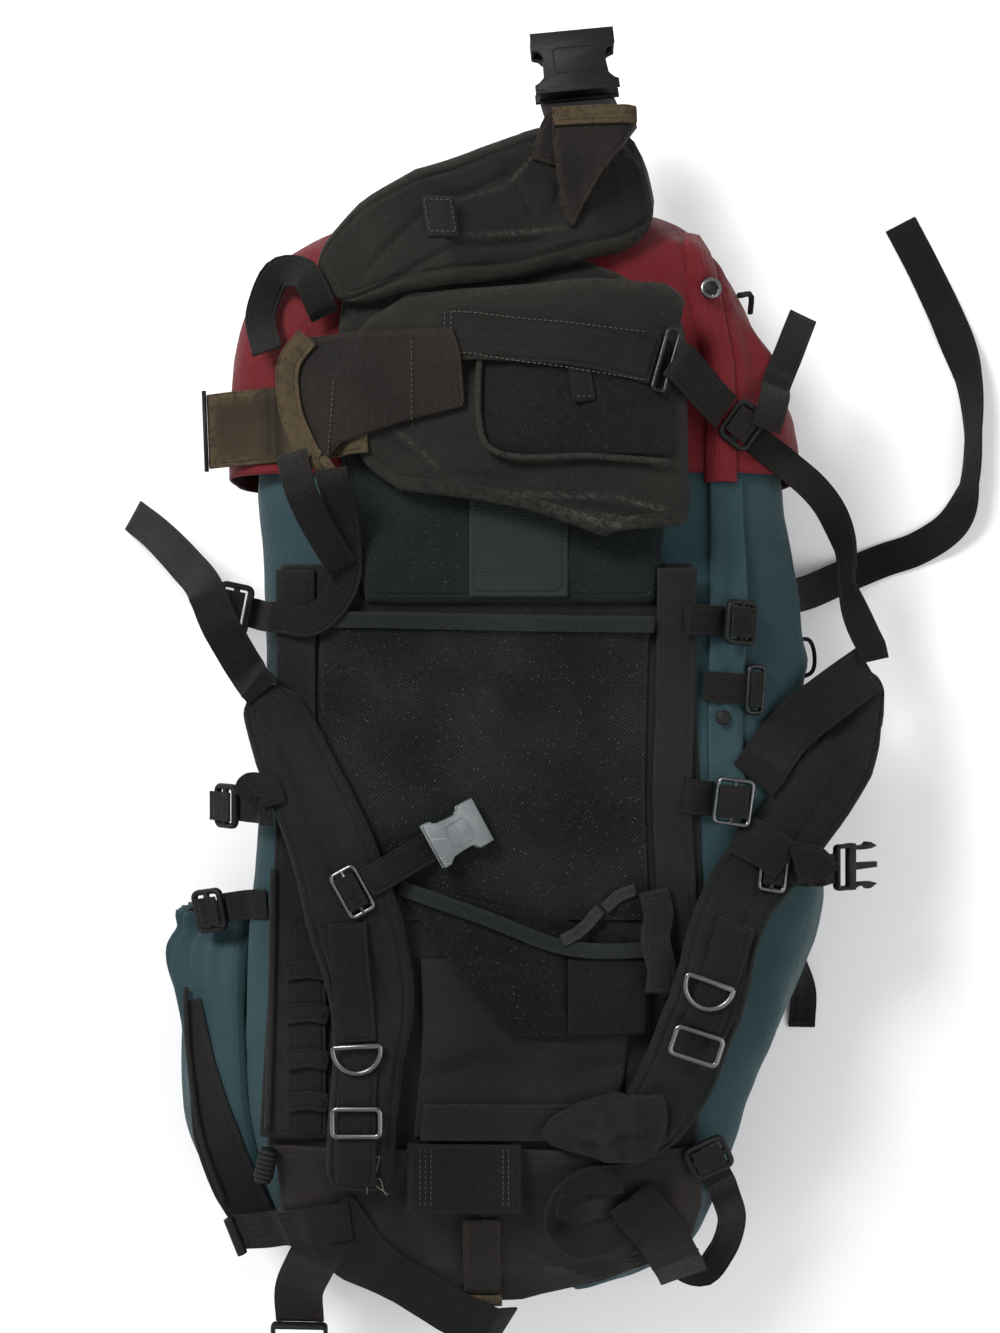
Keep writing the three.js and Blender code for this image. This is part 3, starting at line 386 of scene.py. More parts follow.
def ridges(points, rows, plan=True):
    """Height of folds at each point. Rows: both ends as shares (x y z x2 y2 z2), width and height in mm.
    In plan, only the distance seen from above counts."""
    total = np.zeros(len(points))
    seen = np.array([1, 1, 0 if plan else 1])
    points, scale = points * seen, np.array([HALF_WIDTH, HALF_LENGTH, DEPTH]) * seen
    for *ends, width, height in rows:
        start, end = np.array(ends[:3]) * scale + MIDDLE, np.array(ends[3:]) * scale + MIDDLE
        line = end - start
        share = np.clip((points - start) @ line / (line @ line), 0, 1)
        away = np.linalg.norm(points - start - share[:, None] * line, axis=1)
        faded_ends = np.sqrt(np.sin(np.pi * share.clip(0.02, 0.98)))
        total += height * 1e-3 * np.exp(-((away / (width * 1e-3)) ** 2)) * faded_ends
    return total


# The bag itself: a tube of coated teal nylon, sewn of a few panels, that draws in to a gathered collar at
# its lid end. It is soft and almost empty, so it sags into long folds along its sides.
WALL = 0.0012
GATHERS, GATHER_DEPTH, GATHER_REACH = 16, 0.0025, 0.045
teal_cloth = cloth("teal_cloth", rgb(37, 57, 62), rgb(60, 82, 86), 0.0013, 0.00022, roughness=0.62,
    worn=0.3, dust=0.05)
INSIDE_CUP = 0.0023 / DEPTH
BAG_SECTIONS = table("y left right top middle square lift", [[-0.985, -0.5, 0.3, 0.46, 0.27, 2.2, 0.1],
    [-0.955, -0.65, 0.44, 0.56, 0.3, 2.6, 0.03], [-0.9, -0.78, 0.58, 0.72, 0.36, 3],
    [-0.83, -0.84, 0.65, 0.86, 0.42, 3.2], [-0.74, -0.89, 0.7, 0.96, 0.46, 3.6],
    [-0.6, -0.93, 0.78, 0.99, 0.48, 4], [-0.44, -0.94, 0.9, 1, 0.5, 4], [-0.3, -0.93, 0.99, 1, 0.5, 4],
    [-0.2, -0.91, 1.02, 0.99, 0.5, 4], [0, -0.88, 0.98, 0.99, 0.5, 4], [0.18, -0.87, 0.96, 1, 0.5, 4],
    [0.36, -0.88, 0.93, 1, 0.5, 4], [0.5, -0.9, 0.9, 1, 0.5, 4, INSIDE_CUP],
    [0.6, -0.9, 0.88, 1, 0.5, 4, INSIDE_CUP]])
BAG_FOLDS = [
    (0.93, 0.5, 0.75, 0.95, 0.05, 0.8, 9, 4), (0.8, 0.45, 1, 0.86, -0.1, 1, 7, 2.5),
    (0.99, 0.3, 0.5, 1, -0.4, 0.6, 14, 5), (0.82, 0.02, 1, 0.98, -0.12, 0.85, 6, 4),
    (0.8, -0.05, 1, 0.94, -0.18, 0.9, 5, -3), (0.9, -0.3, 0.9, 0.8, -0.62, 0.9, 12, 4),
    (0.98, -0.2, 0.6, 0.85, -0.55, 0.5, 16, 6), (0.76, 0.5, 1, 0.8, -0.02, 1, 5, 4),
    (0.85, 0.5, 0.98, 0.93, 0.3, 0.95, 6, 4), (0.78, -0.03, 1, 0.99, -0.2, 0.8, 7, 5),
    (0.76, 0.16, 1, 0.9, 0.11, 1, 6, 4), (0.74, -0.5, 0.98, 0.7, -0.8, 0.9, 8, 4),
    (0.95, 0.05, 0.7, 0.93, -0.35, 0.75, 8, 4), (-0.86, 0.3, 0.9, -0.92, 0.05, 0.6, 6, 3),
    (0.9, -0.45, 0.8, 0.75, -0.72, 0.9, 6, 4), (0.8, -0.55, 0.8, 0.6, -0.8, 0.85, 12, 4),
    (-0.88, 0.4, 0.9, -0.86, 0, 0.95, 8, 3), (-0.9, -0.1, 0.8, -0.93, -0.5, 0.85, 10, 4),
    (0.9, 0.1, 0.95, 1, 0.02, 0.5, 8, 3), (0.86, 0.25, 1, 1, 0.16, 0.6, 9, 3),
]


def ring_points(sections, at, sides):
    """Rings of the bag's cloth, round above and flat below, with even steps round each of them."""
    rings, rounds = [], np.linspace(-0.5 * np.pi, 1.5 * np.pi, 721)
    row = {name: smooth(values, at) for name, values in sections.items()}
    for k in range(len(at)):
        left, right = row["left"][k] * HALF_WIDTH, row["right"][k] * HALF_WIDTH
        top, bottom = row["top"][k] * DEPTH, row["lift"][k] * DEPTH
        power, middle = 2 / row["square"][k], row["middle"][k] * DEPTH
        across = np.sign(np.cos(rounds)) * np.abs(np.cos(rounds)) ** power
        height = np.abs(np.sin(rounds)) ** power
        under = np.maximum(bottom, middle + (bottom - 0.006 - middle) * height)
        z = np.where(np.sin(rounds) >= 0, middle + (top - middle) * height, under)
        x = left + (right - left) * (across + 1) / 2
        length = np.concatenate([[0], np.cumsum(np.hypot(np.diff(x), np.diff(z)))])
        even = np.linspace(0, length[-1], sides + 1)[:-1]
        y = np.full(sides, row["y"][k] * HALF_LENGTH)
        rings.append(np.stack([np.interp(even, length, x), y, np.interp(even, length, z),
            even - length[-1] / 2], -1))
    return np.array(rings)


def tube(name, sections, folds, sides, steps, crumpled, seed, material, closed=False, rise=0.0):
    """A bag of cloth through its sections, with its folds pushed out of it. An open one is gathered."""
    sections = {**sections, "top": sections["top"] + rise}
    at = np.linspace(0, len(sections["y"]) - 1, steps)
    rings = ring_points(sections, at, sides)
    points = rings[..., :3] + np.array(MIDDLE)
    faces = grid_faces(steps, sides, closed=True)
    if closed:
        faces.append([(steps - 1) * sides + j for j in range(sides)])
    across, onward = np.roll(points, -1, 1) - np.roll(points, 1, 1), np.gradient(points, axis=0)
    normal = np.cross(onward, across)
    normal /= np.linalg.norm(normal, axis=-1, keepdims=True) + 1e-12
    flat = points.reshape(-1, 3)
    out = ridges(flat, folds, plan=False) + crumpled * crumple(flat, 0.045,
        seed) + 0.4 * crumpled * crumple(flat, 0.018, seed + 9)
    if not closed:
        turn = np.linspace(0, 2 * np.pi, sides, endpoint=False)[None, :]
        past_mouth = np.abs(rings[:, :1, 1] - rings[0, 0, 1])
        waves = GATHER_DEPTH * np.sin(GATHERS * turn + 2 * np.sin(3 * turn))
        out += (waves * np.exp(-past_mouth / GATHER_REACH)).ravel()
    above = np.clip(flat[:, 2] / 0.03, 0, 1)
    flat = flat + normal.reshape(-1, 3) * (out * above)[:, None]
    flat[:, 2] = np.maximum(flat[:, 2], 0)
    ends = np.minimum(np.arange(steps), np.arange(steps)[::-1])[:, None] * 0.008 * np.ones((1, sides))
    lie = np.stack([rings[..., 3], points[..., 1], ends], -1).reshape(-1, 3)
    piece = make(name, flat, faces, lie, material, (name.replace("_cloth", ""),))
    wall = piece.modifiers.new("wall", "SOLIDIFY")
    wall.thickness, wall.offset = WALL, -1
    return piece


tube("main_bag_cloth", BAG_SECTIONS, BAG_FOLDS, 150, 190, 0.0016, 3, teal_cloth)

# The lower compartment: red coated nylon, cut wider than the bag and sewn round it. Its hem hangs free at
# the sides, and at its right side it stands in sharp folds under the belt.
red_cloth = cloth("red_cloth", rgb(86, 21, 27), rgb(114, 36, 41), 0.0013, 0.00022, roughness=0.62, worn=0.3,
    dust=0.05, rows=(0.008,))
HEM_RISE = 0.0026 / DEPTH
CUP_SECTIONS = table("y left right top middle square lift", [[0.53, -1, 0.955, 1, 0.5, 4],
    [0.62, -1, 0.93, 1, 0.5, 4], [0.72, -0.985, 0.87, 0.99, 0.5, 4], [0.81, -0.955, 0.8, 0.97, 0.5, 3.8],
    [0.89, -0.9, 0.72, 0.94, 0.5, 3.4], [0.95, -0.78, 0.65, 0.87, 0.5, 3],
    [1, -0.62, 0.58, 0.76, 0.48, 2.6, 0.06], [1.03, -0.4, 0.48, 0.62, 0.46, 2.2, 0.12]])
CUP_FOLDS = [
    (0.53, 1.0, 0.85, 0.65, 0.73, 0.9, 9, 8), (0.65, 0.73, 0.9, 0.69, 0.54, 0.85, 9, 8),
    (0.54, 0.8, 0.95, 0.57, 0.57, 0.95, 8, -6), (0.8, 0.85, 0.7, 0.83, 0.6, 0.7, 8, -6),
    (0.62, 0.98, 0.75, 0.74, 0.6, 1, 8, 8), (0.74, 0.6, 1, 0.72, 0.5, 1, 7, 5),
    (0.8, 0.9, 0.7, 0.9, 0.6, 0.9, 7, 5), (0.58, 0.92, 0.9, 0.66, 0.76, 1, 6, -3),
    (-0.84, 0.9, 0.7, -0.96, 0.56, 0.85, 9, 5), (-0.7, 0.85, 0.95, -0.86, 0.6, 0.97, 7, 3),
    (0.5, 0.98, 0.8, 0.62, 0.86, 1, 7, 6), (0.63, 0.86, 1, 0.7, 0.56, 1, 5, 6),
    (0.8, 0.72, 1, 0.9, 0.56, 0.9, 6, 5), (0.72, 0.85, 0.9, 0.86, 0.7, 0.8, 7, 5),
    (-0.9, 0.7, 0.9, -0.94, 0.55, 0.95, 6, 4), (0.9, 0.8, 0.5, 0.92, 0.56, 0.7, 9, 4),
    (0.4, 1, 0.7, 0.62, 0.8, 0.95, 9, 4),
]
tube("bottom_compartment_cloth", CUP_SECTIONS, CUP_FOLDS, 150, 110, 0.0014, 21, red_cloth,
           closed=True, rise=HEM_RISE)

# The back panel: black pack cloth over thin foam, sewn down both sides of the bag's back. A flap of the
# teal cloth covers the side zip along its right edge.
GAP = 0.0003
black_cloth = cloth("black_cloth", rgb(25, 26, 29), rgb(47, 45, 44), 0.0012, 0.00022, rows=(0.004,))


def steps(length, cell, rim):
    """Places across a piece: close together in its rounded rim, and this far apart between."""
    edge = rim * np.array([0, 0.06, 0.25, 0.6])
    inner = np.linspace(rim, length - rim, max(3, int((length - 2 * rim) / cell)))
    return np.concatenate([edge, inner, length - edge[::-1]]) / length


def drape(rest, rounds):
    """Lets cloth bridge the hollows of what it rests on. More rounds make it stiffer."""
    height = rest.copy()
    for _ in range(rounds):
        wide = np.pad(height, 1, mode="edge")
        mean = (wide[:-2, 1:-1] + wide[2:, 1:-1] + wide[1:-1, :-2] + wide[1:-1, 2:]) / 4
        height = np.maximum(rest, mean)
    return height


def panel(name, rows, thick, material, stands_for=(), cell=0.004, rounds=60, relief=None, lift=None,
          crumpled=0.0, rim=None, filled=0):
    """A flat piece that lies on the pile. Rows: y, left and right edges as shares, and the least height."""
    rows = table("y left right least", rows)
    rim = rim or thick
    at_steps = []
    for i in range(len(rows["y"]) - 1):
        run = abs(rows["y"][i + 1] - rows["y"][i]) * HALF_LENGTH
        at_steps.append(i + np.arange(0, 1, cell / run))
    at = np.concatenate([*at_steps, [len(rows["y"]) - 1]])
    length = abs(rows["y"][-1] - rows["y"][0]) * HALF_LENGTH
    edges = steps(length, cell, rim)
    level = np.interp(edges, np.abs(np.interp(at, np.arange(len(rows["y"])),
        rows["y"]) - rows["y"][0]) * HALF_LENGTH / length, at)
    row = {key: np.interp(level, np.arange(len(rows["y"])), values) for key, values in rows.items()}
    left, right = row["left"] * HALF_WIDTH, row["right"] * HALF_WIDTH
    share = steps(float(np.mean(right - left)), cell, rim)
    x = left[:, None] + (right - left)[:, None] * share + MIDDLE.x
    y = (row["y"] * HALF_LENGTH + MIDDLE.y)[:, None] + np.zeros_like(x)
    rest = np.maximum(pile.top(x, y, 0.002), row["least"][:, None] * DEPTH)
    rest = drape(rest, rounds) + GAP
    flat = np.stack([x, y, rest], -1).reshape(-1, 3)
    if lift:
        rest = rest + np.maximum(ridges(flat, lift), 0).reshape(x.shape)
    if crumpled:
        rest = rest + crumpled * (1 + crumple(flat * [1, 1, 0], 0.035, len(name)).reshape(x.shape))
    from_side = np.minimum(share, 1 - share)[None, :] * (right - left)[:, None]
    from_end = (np.minimum(edges, 1 - edges) * length)[:, None] + np.zeros_like(x)
    edge = np.minimum(from_side, from_end)
    full = np.sqrt(1 - (1 - np.clip(edge / rim, 0, 1)) ** 2)
    swell = thick * (0.15 + 0.85 * full)
    if relief:
        swell = np.maximum(swell + ridges(flat, relief).reshape(x.shape) * full, 0.15 * thick)
    upper, lower = np.stack([x, y, rest + swell], -1), np.stack([x, y, rest], -1)
    count, wide = x.shape
    faces = grid_faces(count, wide, turned=rows["y"][0] > rows["y"][-1])
    faces += grid_faces(count, wide, start=count * wide, turned=rows["y"][0] < rows["y"][-1])
    ring = [*range(wide), *range(2 * wide - 1, count * wide, wide)]
    ring += [*range(count * wide - 2, (count - 1) * wide - 1, -1), *range((count - 2) * wide, 0, -wide)]
    sides = [(a, b, b + count * wide, a + count * wide) for a, b in zip(ring, ring[1:] + ring[:1])]
    faces += sides if rows["y"][0] > rows["y"][-1] else [side[::-1] for side in sides]
    lie = np.stack([x, y, edge], -1).reshape(-1, 3)
    points = np.concatenate([upper.reshape(-1, 3), lower.reshape(-1, 3)])
    return make(name, points, faces, np.concatenate([lie, lie]), material, stands_for, filled=filled,
        seams=relief or ())


panel("back_panel_cloth", [[0.37, -0.8, 0.56], [0.1, -0.8, 0.58], [-0.22, -0.8, 0.6], [-0.5, -0.83, 0.6],
    [-0.68, -0.85, 0.58]], 0.003, black_cloth, ("back_panel",), crumpled=0.0004,
    relief=[(-0.66, -0.255, 1, -0.66, -0.66, 1, 2, -1.2), (-0.8, -0.63, 1, 0.55, -0.63, 1, 2, -1.5)])
panel("storm_flap_cloth", [[0.52, 0.62, 0.73], [0.3, 0.62, 0.745], [0.1, 0.615, 0.73], [-0.02, 0.62, 0.74]],
    0.0016, teal_cloth, ("storm_flap",), crumpled=0.0025,
    lift=[(0.64, 0.5, 1, 0.66, 0.25, 1, 4, 5), (0.74, 0.42, 1, 0.73, 0.16, 1, 4, 5),
    (0.63, 0.22, 1, 0.73, 0, 1, 4, 5)])

# The pleats at the right of the lower compartment: red cloth that stands up beside the belt, where the
# empty bag has sagged away from its seam.
panel("compartment_pleat_cloth", [[0.975, 0.55, 0.61], [0.93, 0.54, 0.64], [0.85, 0.545, 0.66],
    [0.72, 0.6, 0.7], [0.62, 0.61, 0.705], [0.512, 0.6, 0.71]], 0.0014, red_cloth, cell=0.003,
    rounds=20, crumpled=0.0018, lift=[(0.575, 0.97, 1, 0.6, 0.82, 1, 8, 7),
    (0.6, 0.84, 1, 0.66, 0.66, 1, 7, 7), (0.66, 0.7, 1, 0.665, 0.5, 1, 7, 6),
    (0.56, 0.86, 1, 0.64, 0.9, 1, 4, 4)])

# The lumbar pad: foam covered in black cloth, with a greyer band of grippy cloth sewn down its middle.
soft_cloth = cloth("soft_cloth", rgb(25, 29, 30), rgb(39, 43, 44), 0.0016, 0.0003, roughness=0.92,
    rows=(0.005,), dust=0.2)
panel("lumbar_pad_cover", [[0.83, -0.5, 0.42], [0.7, -0.6, 0.48], [0.5, -0.6, 0.5], [0.3, -0.51, 0.44]],
    0.008, soft_cloth, ("lumbar_pad",), rim=0.012, crumpled=0.0006, filled=0.4,
    relief=[(-0.215, 0.8, 1, -0.215, 0.3, 1, 3, -2.2), (0.2, 0.8, 1, 0.2, 0.3, 1, 3, -2.2),
    (-0.5, 0.33, 1, 0.45, 0.33, 1, 3, -1.5)])
grip_cloth = cloth("grip_cloth", rgb(38, 42, 43), rgb(52, 56, 56), 0.0022, 0.0005, roughness=0.8,
    rows=(0.003,), dust=0.1)
panel("lumbar_centre", [[0.5, -0.17, 0.15], [0.31, -0.17, 0.15]], 0.0012, grip_cloth,
    rim=0.002)

# Sleeves for the two flat frame stays: black cloth folded over each stay, and sewn down along both sides of
# the back. They are firm, so they lie straight.


def along(spots, rows, step):
    """Even stations on a smooth path through the spots, with the columns of its rows in between."""
    last = len(spots) - 1
    dense = np.linspace(0, last, 40 * last + 1)
    before, after = 2 * spots[0] - spots[1], 2 * spots[-1] - spots[-2]
    knots = np.concatenate([[before], spots, [after]])
    gaps = np.maximum(np.linalg.norm(np.diff(knots, axis=0), axis=1) ** 0.5, 1e-5)
    start = np.minimum(dense.astype(int), last - 1)
    share = (dense - start)[:, None]
    a, b, c, d = (knots[start + k] for k in range(4))
    one, two, three = (gaps[start + k][:, None] for k in range(3))
    out = ((b - a) / one - (c - a) / (one + two) + (c - b) / two) * two
    on = ((c - b) / two - (d - b) / (two + three) + (d - c) / three) * two
    square, cube = 3 * (c - b) - 2 * out - on, 2 * (b - c) + out + on
    points = b + out * share + square * share ** 2 + cube * share ** 3
    length = np.concatenate([[0], np.cumsum(np.linalg.norm(np.diff(points, axis=0), axis=1))])
    count = max(4, int(np.ceil(length[-1] / step)))
    even = np.linspace(0, length[-1], count + 1)
    at = np.interp(even, length, dense)
    placed = np.stack([np.interp(even, length, points[:, k]) for k in range(3)], -1)
    columns = {key: np.interp(at, np.arange(last + 1), values) for key, values in rows.items()}
    return placed, columns, even


def route(rows):
    """Rows of a laid piece: x, y, least height, width share and twist. It is flat unless they say."""
    filled = [list(row) + [0, 1, 0][len(row) - 2:] for row in rows]
    return table("x y least width twist", filled)


def over_pack(x, y, height):
    """Points over these shares of the half width and the half length, at this height."""
    return np.stack([x * HALF_WIDTH + MIDDLE.x, y * HALF_LENGTH + MIDDLE.y, height], -1)


def section(kind):
    """Outline across a strap or a pad, one unit wide and thick, from its left edge over its top."""
    if kind == "flat":
        across = np.array([-0.5, -0.49, -0.44, -0.3, -0.1, 0.1, 0.3, 0.44, 0.49, 0.5])
        over = np.array([0.0, 0.4, 0.5, 0.42, 0.42, 0.42, 0.42, 0.5, 0.4, 0.0])
    elif kind in ("pad", "fine pad"):
        sides = 31 if kind == "pad" else 71
        rim = np.array([0.5, 0.4975, 0.488, 0.472])
        across = np.concatenate([-rim, np.linspace(-0.45, 0.45, sides), rim[::-1]])
        over = 0.5 * (1 - np.abs(2 * across) ** 5) ** 0.5 - 0.1 * np.exp(-((np.abs(across)
            - 0.39) / 0.022) ** 2)
    else:
        angle = np.linspace(np.pi, 0, 7)
        across, over = 0.5 * np.cos(angle), 0.5 * np.sin(angle)
    under = -over[-2:0:-1] if "pad" not in kind else -0.5 * (1 - np.abs(2 * across[-2:0:-1]) ** 5) ** 0.5
    return np.stack([np.concatenate([across, across[-2:0:-1]]), np.concatenate([over, under])], -1)


def sweep(stations, outline):
    """Points, faces and lie of the solid that an outline leaves along its stations."""
    point, side, up, width, thick, run = (stations[key] for key in ("point", "side", "up", "width", "thick",
        "run"))
    u, v = outline[:, 0], outline[:, 1]
    points = point[:, None] + side[:, None] * (u * width[:, None])[..., None] + up[:,
        None] * (v * thick[:, None])[..., None]
    count, wide = len(point), len(outline)
    faces = grid_faces(count, wide, closed=True)
    faces += [list(range(wide))[::-1], [(count - 1) * wide + j for j in range(wide)]]
    across = u * width[:, None]
    edge = np.minimum(0.5 * width[:, None] - np.abs(across), np.minimum(run, run[-1] - run)[:, None])
    lie = np.stack([across, run[:, None] + np.zeros_like(across), edge], -1)
    return points.reshape(-1, 3), faces, lie.reshape(-1, 3)


def settle(points, ground):
    """How far a piece has to drop to rest."""
    return min(0.0, float(np.max(ground(points[:, 0], points[:, 1], 0.001) + GAP - points[:, 2])))


STEEPEST = 1.4


def laid(rows, width, thick, kind="flat", step=0.004, ground=None, stiff=30, ends=0.0, wobble=0.0):
    """Stations of a strap or pad that lies on the pile along its route."""
    ground = ground or pile.top
    rows = route(rows)
    spots = over_pack(rows["x"], rows["y"], rows["least"] * DEPTH)
    point, row, run = along(spots, rows, step)
    heading = np.gradient(point, axis=0) * [1, 1, 0]
    heading /= np.linalg.norm(heading, axis=1, keepdims=True) + 1e-12
    side = np.stack([heading[:, 1], -heading[:, 0], 0 * run], -1)
    full = np.ones(len(run))
    if ends:
        full = np.sqrt(1 - (1 - np.clip(np.minimum(run, run[-1] - run) / ends, 0, 1)) ** 2) * 0.8 + 0.2
    twist = np.radians(row["twist"]) + wobble * np.sin(run / 0.031) * np.sin(run / 0.083 + 1)
    wide, high = width * row["width"] * full, thick * np.sqrt(full)
    half_wide = 0.5 * (wide * np.abs(np.cos(twist)) + high * np.abs(np.sin(twist)))
    half_high = 0.5 * (wide * np.abs(np.sin(twist)) + high * np.abs(np.cos(twist)))
    feelers = np.linspace(-1, 1, 2 * int(np.ceil(0.5 * width / 0.002)) + 1)
    spread = point[:, None, :2] + side[:, None, :2] * (half_wide[:, None] * feelers)[..., None]
    rest = ground(spread[..., 0], spread[..., 1], 0.002).max(1)
    height = np.maximum(point[:, 2], rest + GAP + half_high)
    far = np.linalg.norm(np.diff(point[:, :2], axis=0), axis=1)
    for order in (range(1, len(far) + 1), range(len(far) - 1, -1, -1)):
        for i in order:
            other, gap = (i - 1, far[i - 1]) if order.step == 1 else (i + 1, far[i])
            height[i] = max(height[i], height[other] - STEEPEST * gap)
    floor = height.copy()
    for _ in range(stiff):
        mean = np.concatenate([height[:1], (height[:-2] + height[2:]) / 2, height[-1:]])
        height = np.maximum(np.maximum(rest + GAP + half_high, np.minimum(floor, mean)), mean)
    point[:, 2] = height
    slope = np.gradient(height, np.concatenate([[0], np.cumsum(far)]))
    point[:, 2] = np.maximum(height, rest + GAP + half_high * np.hypot(1, slope))
    onward = heading + slope[:, None] * [0, 0, 1]
    onward /= np.linalg.norm(onward, axis=1, keepdims=True)
    up = np.cross(side, onward)
    turned, upright = np.cos(twist)[:, None], np.sin(twist)[:, None]
    stations = {"point": point, "side": side * turned + up * upright, "up": up * turned - side * upright,
        "width": wide, "thick": high, "run": run, "heading": heading, "slope": slope}
    points = sweep(stations, section(kind))[0]
    stations["point"] = point + [0, 0, settle(points, ground)]
    return stations


def strap(name, rows, width, thick, material, slot, stands_for=(), kind="flat", relief=(), crumpled=0.0,
        filled=0, scuffs=(), **how):
    """Makes a laid piece, and gives back its stations."""
    stations = laid(rows, width, thick, kind, **how)
    outline = section(kind)
    points, faces, lie = sweep(stations, outline)
    over = np.tile(np.clip(4 * outline[:, 1], 0, 1), len(stations["run"]))
    points[:, 2] += over * (ridges(points, relief) + crumpled * (1 + crumple(points, 0.03, len(name))))
    make(name, points, faces, lie, material, stands_for, filled=filled, seams=relief, scuffs=scuffs)
    return stations


SLEEVES = {
    "stay_sleeve_left": [[-0.745, 0.36], [-0.745, -0.04], [-0.77, -0.39], [-0.8, -0.64]],
    "stay_sleeve_right": [[0.505, 0.36], [0.505, 0.13], [0.495, -0.04], [0.51, -0.22], [0.52, -0.39]],
}
for sleeve, rows in SLEEVES.items():
    strap(sleeve + "_cloth", rows, 0.026, 0.004, black_cloth, "black_cloth", (sleeve,), kind="pad",
        stiff=80)

# The mesh pocket of the back: knitted mesh, sewn in at its sides and bound along its open upper edge. It is
# torn off at its lower right corner, where it hangs over the yoke.
# Knitted mesh, with painted shade in its holes and hollows.
mesh_cloth = cloth("mesh_cloth", rgb(22, 25, 25), rgb(44, 47, 46), 0.0026, 0.0007, roughness=0.7,
    weave="knit", dust=0.4)
mesh_pocket = panel("mesh_panel_cloth", [[0.268, -0.665, 0.42], [0.1, -0.665, 0.41], [-0.04, -0.665, 0.405],
    [-0.255, -0.68, 0.42]], 0.0012, mesh_cloth, ("mesh_panel",), crumpled=0.0008, rim=0.0015,
    lift=[(-0.6, 0.262, 1, 0.38, 0.262, 1, 9, 3.5), (-0.5, 0.2, 1, -0.35, 0, 1, 9, 5),
    (-0.25, 0.24, 1, 0.05, 0.02, 1, 11, 6), (0.1, 0.22, 1, 0.3, -0.05, 1, 9, 5),
    (0, 0, 1, 0.25, -0.22, 1, 11, 5), (-0.35, -0.02, 1, -0.1, -0.24, 1, 10, 5)])
binding_cloth = cloth("binding_cloth", rgb(27, 30, 31), rgb(47, 50, 49), 0.0016, 0.0004, roughness=0.8)
strap("mesh_binding", [[-0.69, 0.272], [-0.4, 0.27], [0, 0.265], [0.43, 0.262]], 0.011, 0.0034,
    binding_cloth, "black_cloth", kind="pad", stiff=60)

# The yoke between the shoulder straps is a firm pad of black cloth. The torn mesh hangs down over it from
# its bound edge, with a square of lining. Two strips of grip tape and gathered cloth are left from the tear.
panel("yoke_cover", [[-0.32, -0.33, 0.38], [-0.45, -0.33, 0.36], [-0.64, -0.35, 0.3]], 0.006, black_cloth,
    ("yoke_panel",), rim=0.006, crumpled=0.0006, filled=0.5,
    relief=[(-0.36, -0.535, 1, -0.1, -0.505, 1, 7, -6), (-0.12, -0.505, 1, 0.12, -0.535, 1, 7, -6),
    (0.1, -0.535, 1, 0.4, -0.5, 1, 7, -6)])
panel("yoke_lower_cover", [[-0.57, -0.32, 0.34], [-0.635, -0.33, 0.32]], 0.0015, black_cloth,
    crumpled=0.0008)
# Knitted mesh, with painted shade in its holes and hollows.
torn_mesh = cloth("torn_mesh", rgb(17, 20, 20), rgb(28, 31, 31), 0.0026, 0.0007, roughness=0.75,
    weave="knit", dust=0.28)
mesh_flap = panel("mesh_flap_cloth", [[-0.2, -0.4, -0.28], [-0.25, -0.34, 0.12], [-0.29, -0.28, 0.41],
    [-0.37, -0.16, 0.42], [-0.45, -0.04, 0.42]], 0.0014, torn_mesh, ("mesh_flap",),
    cell=0.003, rounds=40, crumpled=0.0018, rim=0.0015, lift=[(-0.3, -0.3, 1, 0.1, -0.45, 1, 9, 4),
    (-0.2, -0.27, 1, 0.2, -0.33, 1, 6, 3), (0.1, -0.3, 1, 0.14, -0.45, 1, 5, 3)])
pocket_cloth = cloth("pocket_cloth", rgb(16, 17, 16), rgb(30, 31, 28), 0.0014, 0.00025, roughness=0.8,
    dust=0.15)
panel("flap_lining", [[-0.315, 0.15, 0.41], [-0.445, 0.15, 0.4]], 0.0014, pocket_cloth,
    cell=0.003, crumpled=0.0008)
strap("flap_binding", [[-0.4, -0.195], [-0.15, -0.24], [0.1, -0.29], [0.22, -0.3], [0.41, -0.3]], 0.01,
    0.0036, binding_cloth, "black_cloth", kind="pad", stiff=20)
grip_tape = cloth("grip_tape", rgb(36, 38, 38), rgb(62, 64, 62), 0.0014, 0.0004, weave="webbing", dust=0.3)
GRIP_TAPES = {
    "grip_tape_low": [[0.13, -0.282], [0.2, -0.262], [0.2575, -0.233]],
    "grip_tape_high": [[0.27, -0.232], [0.32, -0.21], [0.375, -0.2]],
}
for name, rows in GRIP_TAPES.items():
    strap(name, rows, 0.008, 0.001, grip_tape, "black_cloth")
strap("gathered_cloth", [[0.43, -0.2], [0.445, -0.24], [0.43, -0.28], [0.45, -0.33], [0.445, -0.37]], 0.02,
    0.005, black_cloth, "black_cloth", kind="pad", crumpled=0.002, wobble=0.3, step=0.002)

